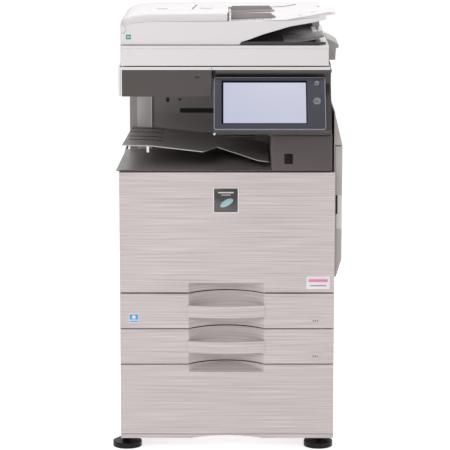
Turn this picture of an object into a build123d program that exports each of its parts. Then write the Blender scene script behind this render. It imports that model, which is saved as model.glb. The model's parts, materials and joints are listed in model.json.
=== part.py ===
"""A floor-standing office copier: stand, two paper drawers, printer body, scanner and document feeder.

Millimetres. X runs to the right, Y to the back and Z up; the floor is Z = 0 and the origin is the middle
of the outer box. Each piece is written as one STEP file in parts/.
"""

import math
import os

from build123d import *

os.makedirs("parts", exist_ok=True)

# ---------------------------------------------------------------- driving sizes
body_w = 580.0          # width of the front panels
body_d = 615.0          # front panels to the rear cover
panel_reach = 68.0      # how far the operation panel stands out in front of the front panels
foot_reach = 23.5       # how far the left foot stands out beyond the body
door_reach = 20.0       # how far the side door stands out beyond the body

trim_h = 12.5           # base trim
stand_h = 194.0         # blank front panel of the stand
drawer_h = 95.5         # front of each paper drawer
cover_h = 329.0         # front cover
cavity_h = 272.5        # output space, from the tray to the rail under the scanner
scanner_h = 54.0        # scanner case
feeder_h = 86.0         # document feeder, up to the tip of its tray

seam = 3.0              # open seam between outer panels
wall = 2.5              # moulded covers
sheet = 1.5             # folded steel sheet
beside = 1.0            # space between pieces that only stand beside each other
running = 0.05          # radial clearance of a pin in its bore
slip = 0.5              # space beside a piece that slides

foot_r = 39.5
foot_h = 28.0
foot_rim = 15.0         # straight edge of a foot's disc, under its dome
spindle_r = 8.0
wheel_r = 25.0
wheel_w = 20.0

# ---------------------------------------------------------------- places worked out from them
left = -body_w / 2 + (foot_reach - door_reach) / 2
right = left + body_w
front = (panel_reach - body_d) / 2
back = front + body_d
x_mid = (left + right) / 2

z_trim = 32.0
z_stand = z_trim + trim_h
z_stand_top = z_stand + stand_h
z_drawer_2 = z_stand_top + seam
z_drawer_1 = z_drawer_2 + drawer_h + seam
z_cover = z_drawer_1 + drawer_h + seam
z_cover_top = z_cover + cover_h
z_tray = z_cover_top + seam
z_rail = z_tray + cavity_h
rail_h = 8.0
z_scan = z_rail + rail_h + seam
z_scan_top = z_scan + scanner_h
z_feed = z_scan_top + 2.0
z_feed_top = z_feed + feeder_h

# finger hollow that runs through the front panels
scoop_x = x_mid - 2.0
scoop_w = 204.0
scoop_depth = 48.0
scoop_rise = 27.0       # how far it runs up into the front cover
scoop_fall = 20.0       # how far it runs down into the stand panel
bar_h = drawer_h * 0.34     # grip bar of a drawer
bar_low = drawer_h * 0.325  # its height above the drawer's lower edge
bar_bulge = 16.0
bar_proud = 2.0
bar_t = 5.0


def write(piece, name):
    """Name a finished piece and write it to its own file."""
    piece.part.label = name
    export_step(piece.part, f"parts/{name}.step")


def block(x0, x1, y0, y1, z0, z1, mode=Mode.ADD):
    """A straight block between two opposite corners."""
    with BuildSketch(Plane.XY.offset(z0)) as outline:
        with Locations(((x0 + x1) / 2, (y0 + y1) / 2)):
            Rectangle(x1 - x0, y1 - y0)
    extrude(outline.sketch, amount=z1 - z0, mode=mode)


def plan_prism(points, z0, z1, mode=Mode.ADD):
    """A prism standing on a plan outline of (x, y) corners."""
    with BuildSketch(Plane.XY.offset(z0)) as outline:
        with BuildLine():
            Polyline(*points, close=True)
        make_face()
    extrude(outline.sketch, amount=z1 - z0, mode=mode)


def side_prism(points, x0, x1, mode=Mode.ADD):
    """A prism along X on an outline of (y, z) corners."""
    with BuildSketch(Plane.YZ.offset(x0)) as outline:
        with BuildLine():
            Polyline(*points, close=True)
        make_face()
    extrude(outline.sketch, amount=x1 - x0, mode=mode)


def front_prism(points, y0, y1, mode=Mode.ADD):
    """A prism along Y on an outline of (x, z) corners."""
    with BuildSketch(Plane.XZ.offset(-y1)) as outline:
        with BuildLine():
            Polyline(*points, close=True)
        make_face()
    extrude(outline.sketch, amount=y1 - y0, mode=mode)


def rod_x(y, z, r, x0, x1, mode=Mode.ADD):
    """A round bar along X."""
    with BuildSketch(Plane.YZ.offset(x0)) as outline:
        with Locations((y, z)):
            Circle(r)
    extrude(outline.sketch, amount=x1 - x0, mode=mode)


def rod_y(x, z, r, y0, y1, mode=Mode.ADD):
    """A round bar along Y."""
    with BuildSketch(Plane.XZ.offset(-y1)) as outline:
        with Locations((x, z)):
            Circle(r)
    extrude(outline.sketch, amount=y1 - y0, mode=mode)


def rod_z(x, y, r, z0, z1, mode=Mode.ADD):
    """A round bar along Z."""
    with BuildSketch(Plane.XY.offset(z0)) as outline:
        with Locations((x, y)):
            Circle(r)
    extrude(outline.sketch, amount=z1 - z0, mode=mode)


def scoop(z0, z1, grow=0.0, mode=Mode.SUBTRACT):
    """The finger hollow: in plan one arc behind the line of the front panels, grown outwards by a wall."""
    half = scoop_w / 2 + grow
    with BuildSketch(Plane.XY.offset(z0)) as outline:
        with BuildLine():
            arc = ThreePointArc(
                (scoop_x - half, front), (scoop_x, front + scoop_depth + grow), (scoop_x + half, front)
            )
            Line(arc @ 1, arc @ 0)
        make_face()
    extrude(outline.sketch, amount=z1 - z0, mode=mode)


def tray_shell(x0, x1, y0, y1, z0, z1, t):
    """A box open at the top with walls and floor of thickness t."""
    block(x0, x1, y0, y1, z0, z1)
    block(x0 + t, x1 - t, y0 + t, y1 - t, z0 + t, z1, mode=Mode.SUBTRACT)


# ---------------------------------------------------------------- levelling feet and casters
foot_x = (left + foot_r - foot_reach, right - foot_r)
foot_y = front + 45.0
base_z = 78.0           # underside of the stand's base plate
base_t = 4.0

caster_x = (left + 95.0, right - 95.0)
caster_y = (front + 175.0, back - 80.0)
fork_t = 3.0
trail = 14.0            # the wheel stands behind its swivel pin
pin_r = 4.0
axle_r = 3.0
race_z = 64.0           # top of the fork


def foot(name, x):
    """A levelling foot: domed disc with a threaded spindle, modelled plain."""
    with BuildPart() as piece:
        rod_z(x, foot_y, foot_r, 0, foot_rim)
        with BuildSketch(Plane.XY.offset(foot_rim)):
            with Locations((x, foot_y)):
                Circle(foot_r - 1.5)
        extrude(amount=foot_h - foot_rim, taper=62)
        rod_z(x, foot_y, spindle_r, 5, base_z + base_t + 12)
    write(piece, name)


def caster(name, x, y):
    """A swivel caster: fork with its upright pin, and the wheel that turns on the fork's axle."""
    wheel_y = y + trail
    arm_x = wheel_w / 2 + beside
    with BuildPart() as fork:
        block(x - arm_x - fork_t, x + arm_x + fork_t, y - 22, y + 30, race_z - fork_t, race_z)
        for side in (-1, 1):
            inner = x + side * arm_x
            outer = x + side * (arm_x + fork_t)
            side_prism(
                [
                    (y - 20, race_z - fork_t),
                    (y + 28, race_z - fork_t),
                    (wheel_y + 9, wheel_r - 6),
                    (wheel_y - 9, wheel_r - 6),
                ],
                min(inner, outer),
                max(inner, outer),
            )
        rod_x(wheel_y, wheel_r, axle_r, x - arm_x - fork_t, x + arm_x + fork_t)
        rod_z(x, y, pin_r, race_z - fork_t, base_z + base_t + 8)
    write(fork, f"{name}_fork")
    with BuildPart() as wheel:
        rod_x(wheel_y, wheel_r, wheel_r, x - wheel_w / 2, x + wheel_w / 2)
        rod_x(wheel_y, wheel_r, axle_r + running, x - wheel_w / 2, x + wheel_w / 2, mode=Mode.SUBTRACT)
        chamfer(wheel.edges().filter_by(GeomType.CIRCLE).sort_by(SortBy.RADIUS)[-2:], 2.0)
    write(wheel, f"{name}_wheel")


for foot_name, x in zip(("foot_left", "foot_right"), foot_x):
    foot(foot_name, x)
casters = {
    "caster_front_left": (caster_x[0], caster_y[0]),
    "caster_front_right": (caster_x[1], caster_y[0]),
    "caster_rear_left": (caster_x[0], caster_y[1]),
    "caster_rear_right": (caster_x[1], caster_y[1]),
}
for caster_name, (x, y) in casters.items():
    caster(caster_name, x, y)

# ---------------------------------------------------------------- stand
shelf_t = 2.0
stand_top = z_drawer_1 - seam / 2 - beside / 2      # top of the stand's box, under the printer body
with BuildPart() as stand_frame:
    block(left, right, front + 20, back, base_z, base_z + base_t)
    block(left, left + wall, front + 16, back, z_stand, stand_top)
    block(right - wall, right, front + 16, back, z_stand, stand_top)
    block(left, right, back - wall, back, z_stand, stand_top)
    block(left, right, front + 60, back, z_stand_top, z_stand_top + shelf_t)
    block(left, right, front + 60, back, stand_top - shelf_t, stand_top)
    for x in foot_x:
        rod_z(max(x, left + 14), foot_y, 13, base_z, base_z + base_t + 6)
        rod_z(x, foot_y, spindle_r + running, base_z, base_z + base_t + 20, mode=Mode.SUBTRACT)
    for x, y in casters.values():
        rod_z(x, y, 16, race_z + beside, base_z)
        rod_z(x, y, pin_r + running, race_z, base_z + base_t, mode=Mode.SUBTRACT)
write(stand_frame, "stand_frame")

# The blank panel closes the stand's front; the lower part of the finger hollow slopes out of it.
panel_d = 14.0
with BuildPart() as stand_hollow:
    scoop(z_stand_top - scoop_fall - 1, z_stand_top + 1, mode=Mode.ADD)
    side_prism(
        [
            (front - 1, z_stand_top - scoop_fall),
            (front + scoop_depth + 2, z_stand_top - 1),
            (front + scoop_depth + 2, z_stand_top + 2),
            (front - 1, z_stand_top + 2),
        ],
        scoop_x - scoop_w,
        scoop_x + scoop_w,
        mode=Mode.INTERSECT,
    )
with BuildPart() as stand_front_panel:
    block(left, right, front, front + panel_d, z_stand, z_stand_top)
    block(
        left + wall, right - wall, front + wall, front + panel_d, z_stand + wall, z_stand_top - wall,
        mode=Mode.SUBTRACT,
    )
    scoop(z_stand_top - scoop_fall - wall, z_stand_top, grow=wall, mode=Mode.ADD)
    add(stand_hollow.part, mode=Mode.SUBTRACT)
write(stand_front_panel, "stand_front_panel")

trim_line = 1.5         # open line between the trim and the stand's panel
trim_arch = (98.0, 8.0)     # half width and rise of the low arch in the trim's front
with BuildPart() as base_trim:
    block(left, right, front + 1, front + 16, z_trim, z_stand - trim_line)
    with BuildSketch(Plane.XZ.offset(-front - 17)) as opening:
        with BuildLine():
            arch = ThreePointArc(
                (scoop_x - trim_arch[0], z_trim), (scoop_x, z_trim + trim_arch[1]), (scoop_x + trim_arch[0], z_trim)
            )
            Line(arch @ 1, arch @ 0)
        make_face()
    extrude(opening.sketch, amount=17, mode=Mode.SUBTRACT)
    block(left, left + 12, front + 16, back, z_trim, z_stand)
    block(right - 12, right, front + 16, back, z_trim, z_stand)
    block(left, right, back - 12, back, z_trim, z_stand)
    for x in foot_x:
        rod_z(x, foot_y, spindle_r + 4, z_trim - 1, z_stand + 1, mode=Mode.SUBTRACT)
write(base_trim, "base_trim")

# ---------------------------------------------------------------- paper drawers
bin_side = 26.0         # from the body's side to the bin's side
bin_x = (left + bin_side, right - bin_side)
bin_y = (front + scoop_depth + wall + 6.0, front + scoop_depth + wall + 6.0 + 400.0)
bin_h = drawer_h - 21.5
bin_t = 2.0
lift_x = x_mid - 10.0   # hinge line of the lift plate
guide_t = 3.0
guide_h = bin_h - 28.0
guide_gap = 105.0       # each side guide stands this far from the bin's middle at rest


def drawer(name, z0):
    """A paper drawer: front with grip bar, bin, lift plate, two side guides and an end guide."""
    z1 = z0 + drawer_h
    z_floor = z0 + 8.0
    bin_mid = (bin_y[0] + bin_y[1]) / 2
    with BuildPart() as face:
        block(left, right, front, front + panel_d, z0, z1)
        block(left + wall, right - wall, front + wall, front + panel_d, z0 + wall, z1 - wall, mode=Mode.SUBTRACT)
        scoop(z0, z1, grow=wall, mode=Mode.ADD)
        scoop(z0, z1)
        with BuildSketch(Plane.XY.offset(z0 + bar_low)):
            with BuildLine():
                outer = ThreePointArc(
                    (scoop_x - scoop_w / 2 - wall, front - bar_proud),
                    (scoop_x, front - bar_bulge),
                    (scoop_x + scoop_w / 2 + wall, front - bar_proud),
                )
                inner = ThreePointArc(
                    (scoop_x + scoop_w / 2 + wall, front - bar_proud + bar_t),
                    (scoop_x, front - bar_bulge + bar_t),
                    (scoop_x - scoop_w / 2 - wall, front - bar_proud + bar_t),
                )
                Line(outer @ 1, inner @ 0)
                Line(inner @ 1, outer @ 0)
            make_face()
        extrude(amount=bar_h)
        for x in (bin_x[0] + 30, bin_x[1] - 60):
            block(x, x + 30, front + wall, bin_y[0] - beside, z0 + 30, z0 + 60)
    write(face, f"{name}_front")

    with BuildPart() as tub:
        tray_shell(*bin_x, *bin_y, z_floor, z_floor + bin_h, bin_t)
        for x in (bin_x[0] + 30, bin_x[1] - 60):
            block(x, x + 30, bin_y[0] - beside, bin_y[0] + bin_t, z0 + 30, z0 + 60)
        for x0, x1 in ((bin_x[0] - 8, bin_x[0]), (bin_x[1], bin_x[1] + 8)):
            block(x0, x1, bin_y[0] + 20, bin_y[1], z_floor + 30, z_floor + 36)
        rod_y(lift_x, z_floor + bin_t + 3.5, 2.0, bin_y[0] + bin_t, bin_y[0] + bin_t + 14)
        rod_y(lift_x, z_floor + bin_t + 3.5, 2.0, bin_y[1] - bin_t - 14, bin_y[1] - bin_t)
    write(tub, f"{name}_bin")

    z_in = z_floor + bin_t
    with BuildPart() as lift_plate:
        block(lift_x, bin_x[1] - 12, bin_y[0] + 8, bin_y[1] - 8, z_in + 4.5, z_in + 6.0)
        for y0, y1 in ((bin_y[0] + 6, bin_y[0] + 16), (bin_y[1] - 16, bin_y[1] - 6)):
            rod_y(lift_x, z_in + 3.5, 3.0, y0, y1)
        rod_y(lift_x, z_in + 3.5, 2.0 + running, bin_y[0], bin_y[1], mode=Mode.SUBTRACT)
    write(lift_plate, f"{name}_lift_plate")

    for side, label in ((-1, "front"), (1, "rear")):
        y = bin_mid + side * guide_gap
        with BuildPart() as guide:
            block(lift_x - 150, lift_x - 30, min(y, y + side * guide_t), max(y, y + side * guide_t),
                  z_in + slip, z_in + guide_h)
            block(lift_x - 130, lift_x - 50, min(y, y + side * 34), max(y, y + side * 34),
                  z_in + slip, z_in + slip + 3)
        write(guide, f"{name}_guide_{label}")

    with BuildPart() as end_guide:
        block(bin_x[0] + 20, bin_x[0] + 23, bin_mid - 30, bin_mid + 30, z_in + slip, z_in + guide_h)
        block(bin_x[0] + 5, bin_x[0] + 45, bin_mid - 20, bin_mid + 20, z_in + slip, z_in + slip + 3)
    write(end_guide, f"{name}_end_guide")


drawer("drawer_2", z_drawer_2)
drawer("drawer_1", z_drawer_1)

# ---------------------------------------------------------------- printer body
inner_y = front + scoop_depth + wall + 6.0          # fittings start behind the finger hollow's swing
z_main = stand_top + beside
z_deck = z_cover - seam / 2                          # plate over the upper drawer
cover_pivot = (front + 5.0, z_cover + 5.0)
hinge_r = 1.5
ear_r = 2.6             # hinge ear, inside the sweep of the cover's skin
with BuildPart() as main_frame:
    block(left + 6, right - 6, front + 60, back - 6, z_main, z_main + shelf_t)
    block(left + 6, left + 6 + sheet, front + 20, back - 6, z_main, z_cover_top - 8)
    block(right - 6 - sheet, right - 6, front + 20, back - 6, z_main, z_cover_top - 8)
    block(left + 6, right - 6, back - 6 - sheet, back - 6, z_main, z_cover_top - 8)
    block(left + 6, right - 6, inner_y, back - 6, z_deck, z_deck + shelf_t)
    block(left + 6, right - 6, front + 20, back - 6, z_cover_top - 8, z_cover_top - 8 + shelf_t)
    block(
        right - 122, right - 68, back - 9, back - 5, z_main + 21, z_main + 57, mode=Mode.SUBTRACT,
    )
    for x0, x1 in ((left + 7.5, left + 10.5), (right - 10.5, right - 7.5)):
        block(x0, x1, cover_pivot[0], front + 24, cover_pivot[1] - ear_r, cover_pivot[1] + ear_r)
        rod_x(*cover_pivot, ear_r, x0, x1)
        rod_x(*cover_pivot, hinge_r + running, x0, x1, mode=Mode.SUBTRACT)
        block(min(x0, left + 6) if x0 < x_mid else x0, x1 if x0 < x_mid else right - 6,
              front + 20, front + 24, cover_pivot[1] - ear_r, cover_pivot[1] + ear_r)
write(main_frame, "main_frame")

with BuildPart() as left_cover:
    block(left, left + wall, front + 16, back - 30, z_main, z_cover_top)
    block(left, left + 5, front + 16, front + 20, z_main, z_cover_top)
    block(left + wall, left + 5, back - 34, back - 30, z_main, z_cover_top)
write(left_cover, "left_cover")

with BuildPart() as rear_cover:
    block(left, right, back - wall, back, z_main, z_cover_top)
    block(left, left + wall, back - 29, back - wall, z_main, z_cover_top)
    block(right - wall, right, back - 29, back - wall, z_main, z_cover_top)
    for step in range(6):
        z = z_cover + 150 + step * 16
        block(x_mid - 170, x_mid - 60, back - wall - 1, back + 1, z, z + 6, mode=Mode.SUBTRACT)
    block(right - 120, right - 70, back - wall - 1, back + 1, z_main + 24, z_main + 54, mode=Mode.SUBTRACT)
write(rear_cover, "rear_cover")

with BuildPart() as power_inlet:
    block(right - 119.5, right - 70.5, back - 30, back - 1, z_main + 24.5, z_main + 53.5)
    block(right - 111, right - 79, back - 22, back, z_main + 30, z_main + 48, mode=Mode.SUBTRACT)
    for dx in (-9, 0, 9):
        block(right - 96 + dx, right - 94 + dx, back - 24, back - 6, z_main + 36, z_main + 41)
write(power_inlet, "power_inlet")

# right side: fixed cover with the passage that the side door closes
door_z = (z_cover + 5.0, z_cover_top + 130.0)
door_y = (front + 22.0, back - 60.0)


# ---------------------------------------------------------------- front cover
with BuildPart() as front_cover:
    block(left, right, front, front + 12, z_cover, z_cover_top)
    fillet(front_cover.edges().filter_by(Axis.X).group_by(Axis.Y)[0].sort_by(Axis.Z)[0], 4.0)
    block(
        left + wall, right - wall, front + wall, front + 12, z_cover + 2 * wall + 4, z_cover_top - wall,
        mode=Mode.SUBTRACT,
    )
    scoop(z_cover, z_cover + scoop_rise + wall, grow=wall, mode=Mode.ADD)
    scoop(z_cover - 1, z_cover + scoop_rise)
    for x0, x1 in ((left - 1, left + 12), (right - 12, right + 1)):
        block(x0, x1, front + 2, front + 13, z_cover - 1, z_cover + 14, mode=Mode.SUBTRACT)
    for x0, x1 in ((left + 6.5, left + 12), (right - 12, right - 6.5)):
        rod_x(*cover_pivot, hinge_r, x0, x1)
write(front_cover, "front_cover")

# ---------------------------------------------------------------- side door with bypass tray
door_in = right + 1.0
door_out = right + door_reach
door_foot = z_cover + 40.0          # its lower edge
door_knee = z_cover + 88.0          # below this the door's foot tapers inwards
door_brow = z_cover_top + 68.0      # above this its head slopes inwards
door_top = z_cover_top + 160.0
door_pivot = (right + 8.0, door_y[1] + 6.0)
door_wall = 3.0
bypass_y = (door_y[0] + 165.0, door_y[1] - 45.0)
bypass_z = (z_cover + 94.0, z_cover + 294.0)
bypass_t = 8.0
bypass_pivot = (door_out - 1.0 - bypass_t / 2, bypass_z[0] + 8.0)
latch_z = (z_cover + 147.0, z_cover + 257.0)
latch_y = (door_y[0] + 3.0, door_y[0] + 43.0)
latch_pivot = (door_out - 5.0, latch_y[1] - 4.0)
door_knuckle_z = (z_cover + 80.0, z_cover_top - 60.0)
with BuildPart() as right_cover:
    block(right - wall, right, front + 16, back - 30, z_main, z_cover_top)
    block(
        right - wall - 1, right + 1, door_y[0] + 40, door_y[1] - 40, z_cover + 40, z_cover_top - 40,
        mode=Mode.SUBTRACT,
    )
    block(right - wall, right, *door_y, z_cover_top - 1, door_top)
    front_prism(
        [
            (right - 1, door_brow + seam),
            (door_out - 1, door_brow + seam),
            (door_out - 1, door_brow + seam + 4),
            (right - 1, door_top),
        ],
        *door_y,
    )
    for z0 in door_knuckle_z:
        block(right - 1, right + 12, door_pivot[1] - 4, door_pivot[1] + 6, z0 - 18, z0 - 1)
        rod_z(*door_pivot, 3.0, z0 - 18, z0 + 22)
write(right_cover, "right_cover")
door_outline = [
    (door_in, door_foot),
    (door_in + 4, door_foot),
    (door_out, door_knee),
    (door_out, door_brow),
    (door_in, door_brow),
]
with BuildPart() as right_door:
    front_prism(door_outline, *door_y)
    front_prism(
        [
            (door_in - 1, door_foot + door_wall),
            (door_in + 2, door_foot + door_wall),
            (door_out - 14, door_knee),
            (door_out - 14, door_brow - door_wall),
            (door_in - 1, door_brow - door_wall),
        ],
        door_y[0] + door_wall,
        door_y[1] - door_wall,
        mode=Mode.SUBTRACT,
    )
    block(door_out - bypass_t - 2, door_out + 1, *bypass_y, *bypass_z, mode=Mode.SUBTRACT)
    block(door_out - 10, door_out + 1, door_y[0] + 2, latch_y[1] + 2, *latch_z, mode=Mode.SUBTRACT)
    rod_y(*bypass_pivot, 2.5, bypass_y[0] - 4, bypass_y[1] + 4)
    rod_z(*latch_pivot, 2.0, latch_z[0] - 4, latch_z[1] + 4)
    for z0 in door_knuckle_z:
        block(door_in + 1, door_in + 12, door_y[1] - 1, door_pivot[1], z0, z0 + 30)
        rod_z(*door_pivot, 5.5, z0, z0 + 30)
    rod_z(*door_pivot, 3.0 + running, z_cover + 70, z_cover_top, mode=Mode.SUBTRACT)
write(right_door, "right_door")

with BuildPart() as door_latch:
    block(door_out - 8, door_out - 2, *latch_y, latch_z[0] + 1, latch_z[1] - 1)
    rod_z(*latch_pivot, 4.0, latch_z[0] + 1, latch_z[1] - 1)
    rod_z(*latch_pivot, 2.0 + running, latch_z[0], latch_z[1], mode=Mode.SUBTRACT)
write(door_latch, "door_latch")

with BuildPart() as bypass_tray:
    block(door_out - 1 - bypass_t, door_out - 1, bypass_y[0] + 1, bypass_y[1] - 1, bypass_pivot[1], bypass_z[1] - 1)
    block(
        door_out - 2 - bypass_t, door_out - 4, bypass_y[0] + 12, bypass_y[1] - 12, bypass_pivot[1] + 12,
        bypass_z[1] - 12, mode=Mode.SUBTRACT,
    )
    rod_y(*bypass_pivot, bypass_t / 2, bypass_y[0] + 1, bypass_y[1] - 1)
    rod_y(*bypass_pivot, 2.5 + running, bypass_y[0], bypass_y[1], mode=Mode.SUBTRACT)
write(bypass_tray, "bypass_tray")

# ---------------------------------------------------------------- output space
y_wall = front + 387.0              # its back wall
x_block = right - 171.0             # left side of the block under the operation panel
z_lip = z_tray + cavity_h * 0.374              # underside of the housing behind the operation panel
column_x = left + 15.0
exit_r = 7.0
exit_z = z_tray + cavity_h * 0.308
exit_x = x_block + 1.5
exit_y = (front + 140.0, y_wall - 25.0)
slot_z = z_tray + cavity_h * 0.4        # long opening in the back wall
with BuildPart() as upper_frame:
    block(column_x, right - 8, y_wall, y_wall + wall, z_tray, z_rail)
    block(column_x, column_x + wall, y_wall, back - 10, z_tray, z_rail)
    block(column_x, right - 8, back - 10 - wall, back - 10, z_tray, z_rail)
    for x0, y1 in ((x_block, y_wall), (right - 8 - wall, back - 10)):
        side_prism(
            [
                (front + 30, z_cover_top - 6),
                (y1, z_cover_top - 6),
                (y1, z_rail),
                (front + 127, z_rail),
                (front + 127, z_lip - 2),
                (front + 30, z_lip - 2),
            ],
            x0,
            x0 + wall,
        )
    block(left + 1, right - 15, front + 10, back - 10, z_rail, z_rail + rail_h)
    block(left + 4, right - 18, front + 13, back - 13, z_rail + 2, z_rail + rail_h + 1, mode=Mode.SUBTRACT)
    block(left + 37, left + 78, y_wall - 6, y_wall, z_tray + 3, z_rail)
    for y0, y1 in ((exit_y[0] - 8, exit_y[0] - 2), (exit_y[1] + 2, exit_y[1] + 8)):
        block(x_block - 5, x_block + 8, y0, y1, exit_z - 6, exit_z + 6)
    block(x_block - 6, x_block + 9, exit_y[0] - 2, exit_y[1] + 2, exit_z - 10, exit_z + 10, mode=Mode.SUBTRACT)
    rod_y(exit_x, exit_z, 3.0 + running, exit_y[0] - 9, exit_y[1] + 9, mode=Mode.SUBTRACT)
    block(x_block - 1, x_block + wall + 1, exit_y[0], exit_y[1], z_tray + 6, z_tray + 18, mode=Mode.SUBTRACT)
    for x in (left + 118, left + 152):
        block(x, x + 6, y_wall - 1, y_wall + wall + 1, slot_z + 25, slot_z + 33, mode=Mode.SUBTRACT)
    block(left + 157, x_block - 20, y_wall - 1, y_wall + wall + 1, slot_z, slot_z + 12, mode=Mode.SUBTRACT)
write(upper_frame, "upper_frame")

with BuildPart() as exit_roller:
    rod_y(exit_x, exit_z, 3.0, exit_y[0] - 8, exit_y[1] + 8)
    roller_pitch = (exit_y[1] - exit_y[0] - 20) / 4
    for count in range(5):
        y = exit_y[0] + 2 + count * roller_pitch
        rod_y(exit_x, exit_z, exit_r, y, y + 16)
write(exit_roller, "exit_roller")

with BuildPart() as left_upper_cover:
    tray_shell(left + 9, left + 249, front + 13, y_wall - 7, z_rail - 72, z_rail, wall)
write(left_upper_cover, "left_upper_cover")

with BuildPart() as output_tray:
    plan_prism(
        [
            (left - 8, front + 9),
            (left - 3, front + 4),
            (x_block - beside, front + 4),
            (x_block - beside, y_wall - 7),
            (left + 4, y_wall - 7),
        ],
        z_tray,
        z_tray + 3,
    )
    for y in (front + 34, front + 200, y_wall - 30):
        block(left + 30, x_block - 30, y, y + 3, z_cover_top - 6, z_tray)
    for x in (left + 30, x_block - 33):
        block(x, x + 3, front + 34, y_wall - 27, z_cover_top - 6, z_tray)
write(output_tray, "output_tray")

shelf_y = (front + 30.0, y_wall - 7.0)
shelf_line = [(left + 8, z_tray + 68), (left + 88, z_tray + 66), (left + 225, z_tray + 50), (x_block - 6, z_tray + 22)]
shelf_thick = 2.5
with BuildPart() as upper_tray:
    front_prism(shelf_line + [(x, z - shelf_thick) for x, z in reversed(shelf_line)], *shelf_y)
    plan_prism(
        [(left + 225, shelf_y[0] - 1), (left + 263, shelf_y[0] + 125), (left + 373, shelf_y[0] - 1)],
        z_tray,
        z_lip,
        mode=Mode.SUBTRACT,
    )
    plan_prism(
        [(left, shelf_y[0] - 1), (left + 8, shelf_y[0] - 1), (left + 23, shelf_y[1] + 1), (left, shelf_y[1] + 1)],
        z_tray,
        z_lip,
        mode=Mode.SUBTRACT,
    )
    block(left + 74, left + 80, shelf_y[0], shelf_y[0] + 4, z_tray + 49, z_tray + 65)
    for count in (1, 2):
        (x0, z0), (x1, z1) = shelf_line[count : count + 2]
        x = x0 + (x1 - x0) * 0.4
        z = z0 + (z1 - z0) * 0.4
        block(x, x + 12, y_wall - 12, y_wall, z - 20, z - 1.5)
write(upper_tray, "upper_tray")

with BuildPart() as lower_right_panel:
    block(x_block, right - 8, front + 3, front + 29, z_tray, z_lip - 1)
    block(
        x_block + wall, right - 8 - wall, front + 3 + wall, front + 30, z_tray + wall, z_lip - 1 - wall,
        mode=Mode.SUBTRACT,
    )
    block(x_block + 33, x_block + 59, front + 5, front + 12, z_tray + 18, z_tray + 48)
    block(x_block + 35, x_block + 57, front, front + 10, z_tray + 20, z_tray + 46, mode=Mode.SUBTRACT)
write(lower_right_panel, "lower_right_panel")

# ---------------------------------------------------------------- operation panel
tilt = math.radians(36.0)
panel_x = (left + 255.0, right - 28.0)
panel_len = cavity_h * 0.587
panel_t = 18.0
panel_foot = (front - panel_reach, z_tray + cavity_h * 0.449)
slope = (math.sin(tilt), math.cos(tilt))            # up the panel, in (y, z)
inward = (math.cos(tilt), -math.sin(tilt))          # into the panel, in (y, z)


def on_panel(along, deep):
    """The (y, z) place at a distance up the panel's face and a depth behind it."""
    return (
        panel_foot[0] + along * slope[0] + deep * inward[0],
        panel_foot[1] + along * slope[1] + deep * inward[1],
    )


def panel_plane(along, deep, x):
    """A plane lying in the panel's face, with its X to the right and its Z out of the face."""
    y, z = on_panel(along, deep)
    return Plane(origin=(x, y, z), x_dir=(1, 0, 0), z_dir=(0, -inward[0], -inward[1]))


def panel_block(x0, x1, along0, along1, deep0, deep1, mode=Mode.ADD):
    """A block lying in the panel: across, up the face and behind the face."""
    middle = panel_plane((along0 + along1) / 2, deep1, (x0 + x1) / 2)
    with BuildSketch(middle) as outline:
        Rectangle(x1 - x0, along1 - along0)
    extrude(outline.sketch, amount=deep1 - deep0, mode=mode)


hinge_at = on_panel(panel_len - 14, panel_t + 9)
screen_x = (panel_x[0] + 22.0, panel_x[0] + 246.0)
screen_run = (19.0, panel_len - 12.0)
key_x = panel_x[1] - 23.0
keys = {"power_key": (panel_len * 0.8885, 8.5), "home_key": (panel_len * 0.545, 12.0)}
key_travel = 1.5
key_clear = 0.4
panel_lugs = (panel_x[0] + 40.0, panel_x[1] - 60.0)
with BuildPart() as panel_body:
    panel_block(*panel_x, 0, panel_len, 0, panel_t)
    fillet(panel_body.edges().filter_by(Axis.X), 2.5)
    panel_block(screen_x[0], screen_x[1], *screen_run, -1, 4, mode=Mode.SUBTRACT)
    panel_block(screen_x[0] + 4, screen_x[1] - 4, screen_run[0] + 4, screen_run[1] - 4, 3, panel_t - wall,
                mode=Mode.SUBTRACT)
    for along, key_r in keys.values():
        with BuildSketch(panel_plane(along, 8, key_x)) as hole:
            Circle(key_r + key_clear)
        extrude(hole.sketch, amount=9, mode=Mode.SUBTRACT)
    for x in panel_lugs:
        panel_block(x, x + 20, panel_len - 18, panel_len - 10, panel_t - 1, panel_t + 9)
        rod_x(*hinge_at, 5.5, x, x + 20)
        rod_x(*hinge_at, 2.5 + running, x, x + 20, mode=Mode.SUBTRACT)
write(panel_body, "panel_body")

with BuildPart() as panel_screen:
    panel_block(screen_x[0] + 0.2, screen_x[1] - 0.2, screen_run[0] + 0.2, screen_run[1] - 0.2, 2, 3.9)
write(panel_screen, "panel_screen")

for key_name, (along, key_r) in keys.items():
    with BuildPart() as key:
        with BuildSketch(panel_plane(along, 5.0, key_x)) as cap:
            Circle(key_r)
        extrude(cap.sketch, amount=4.2)
    write(key, key_name)

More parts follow.
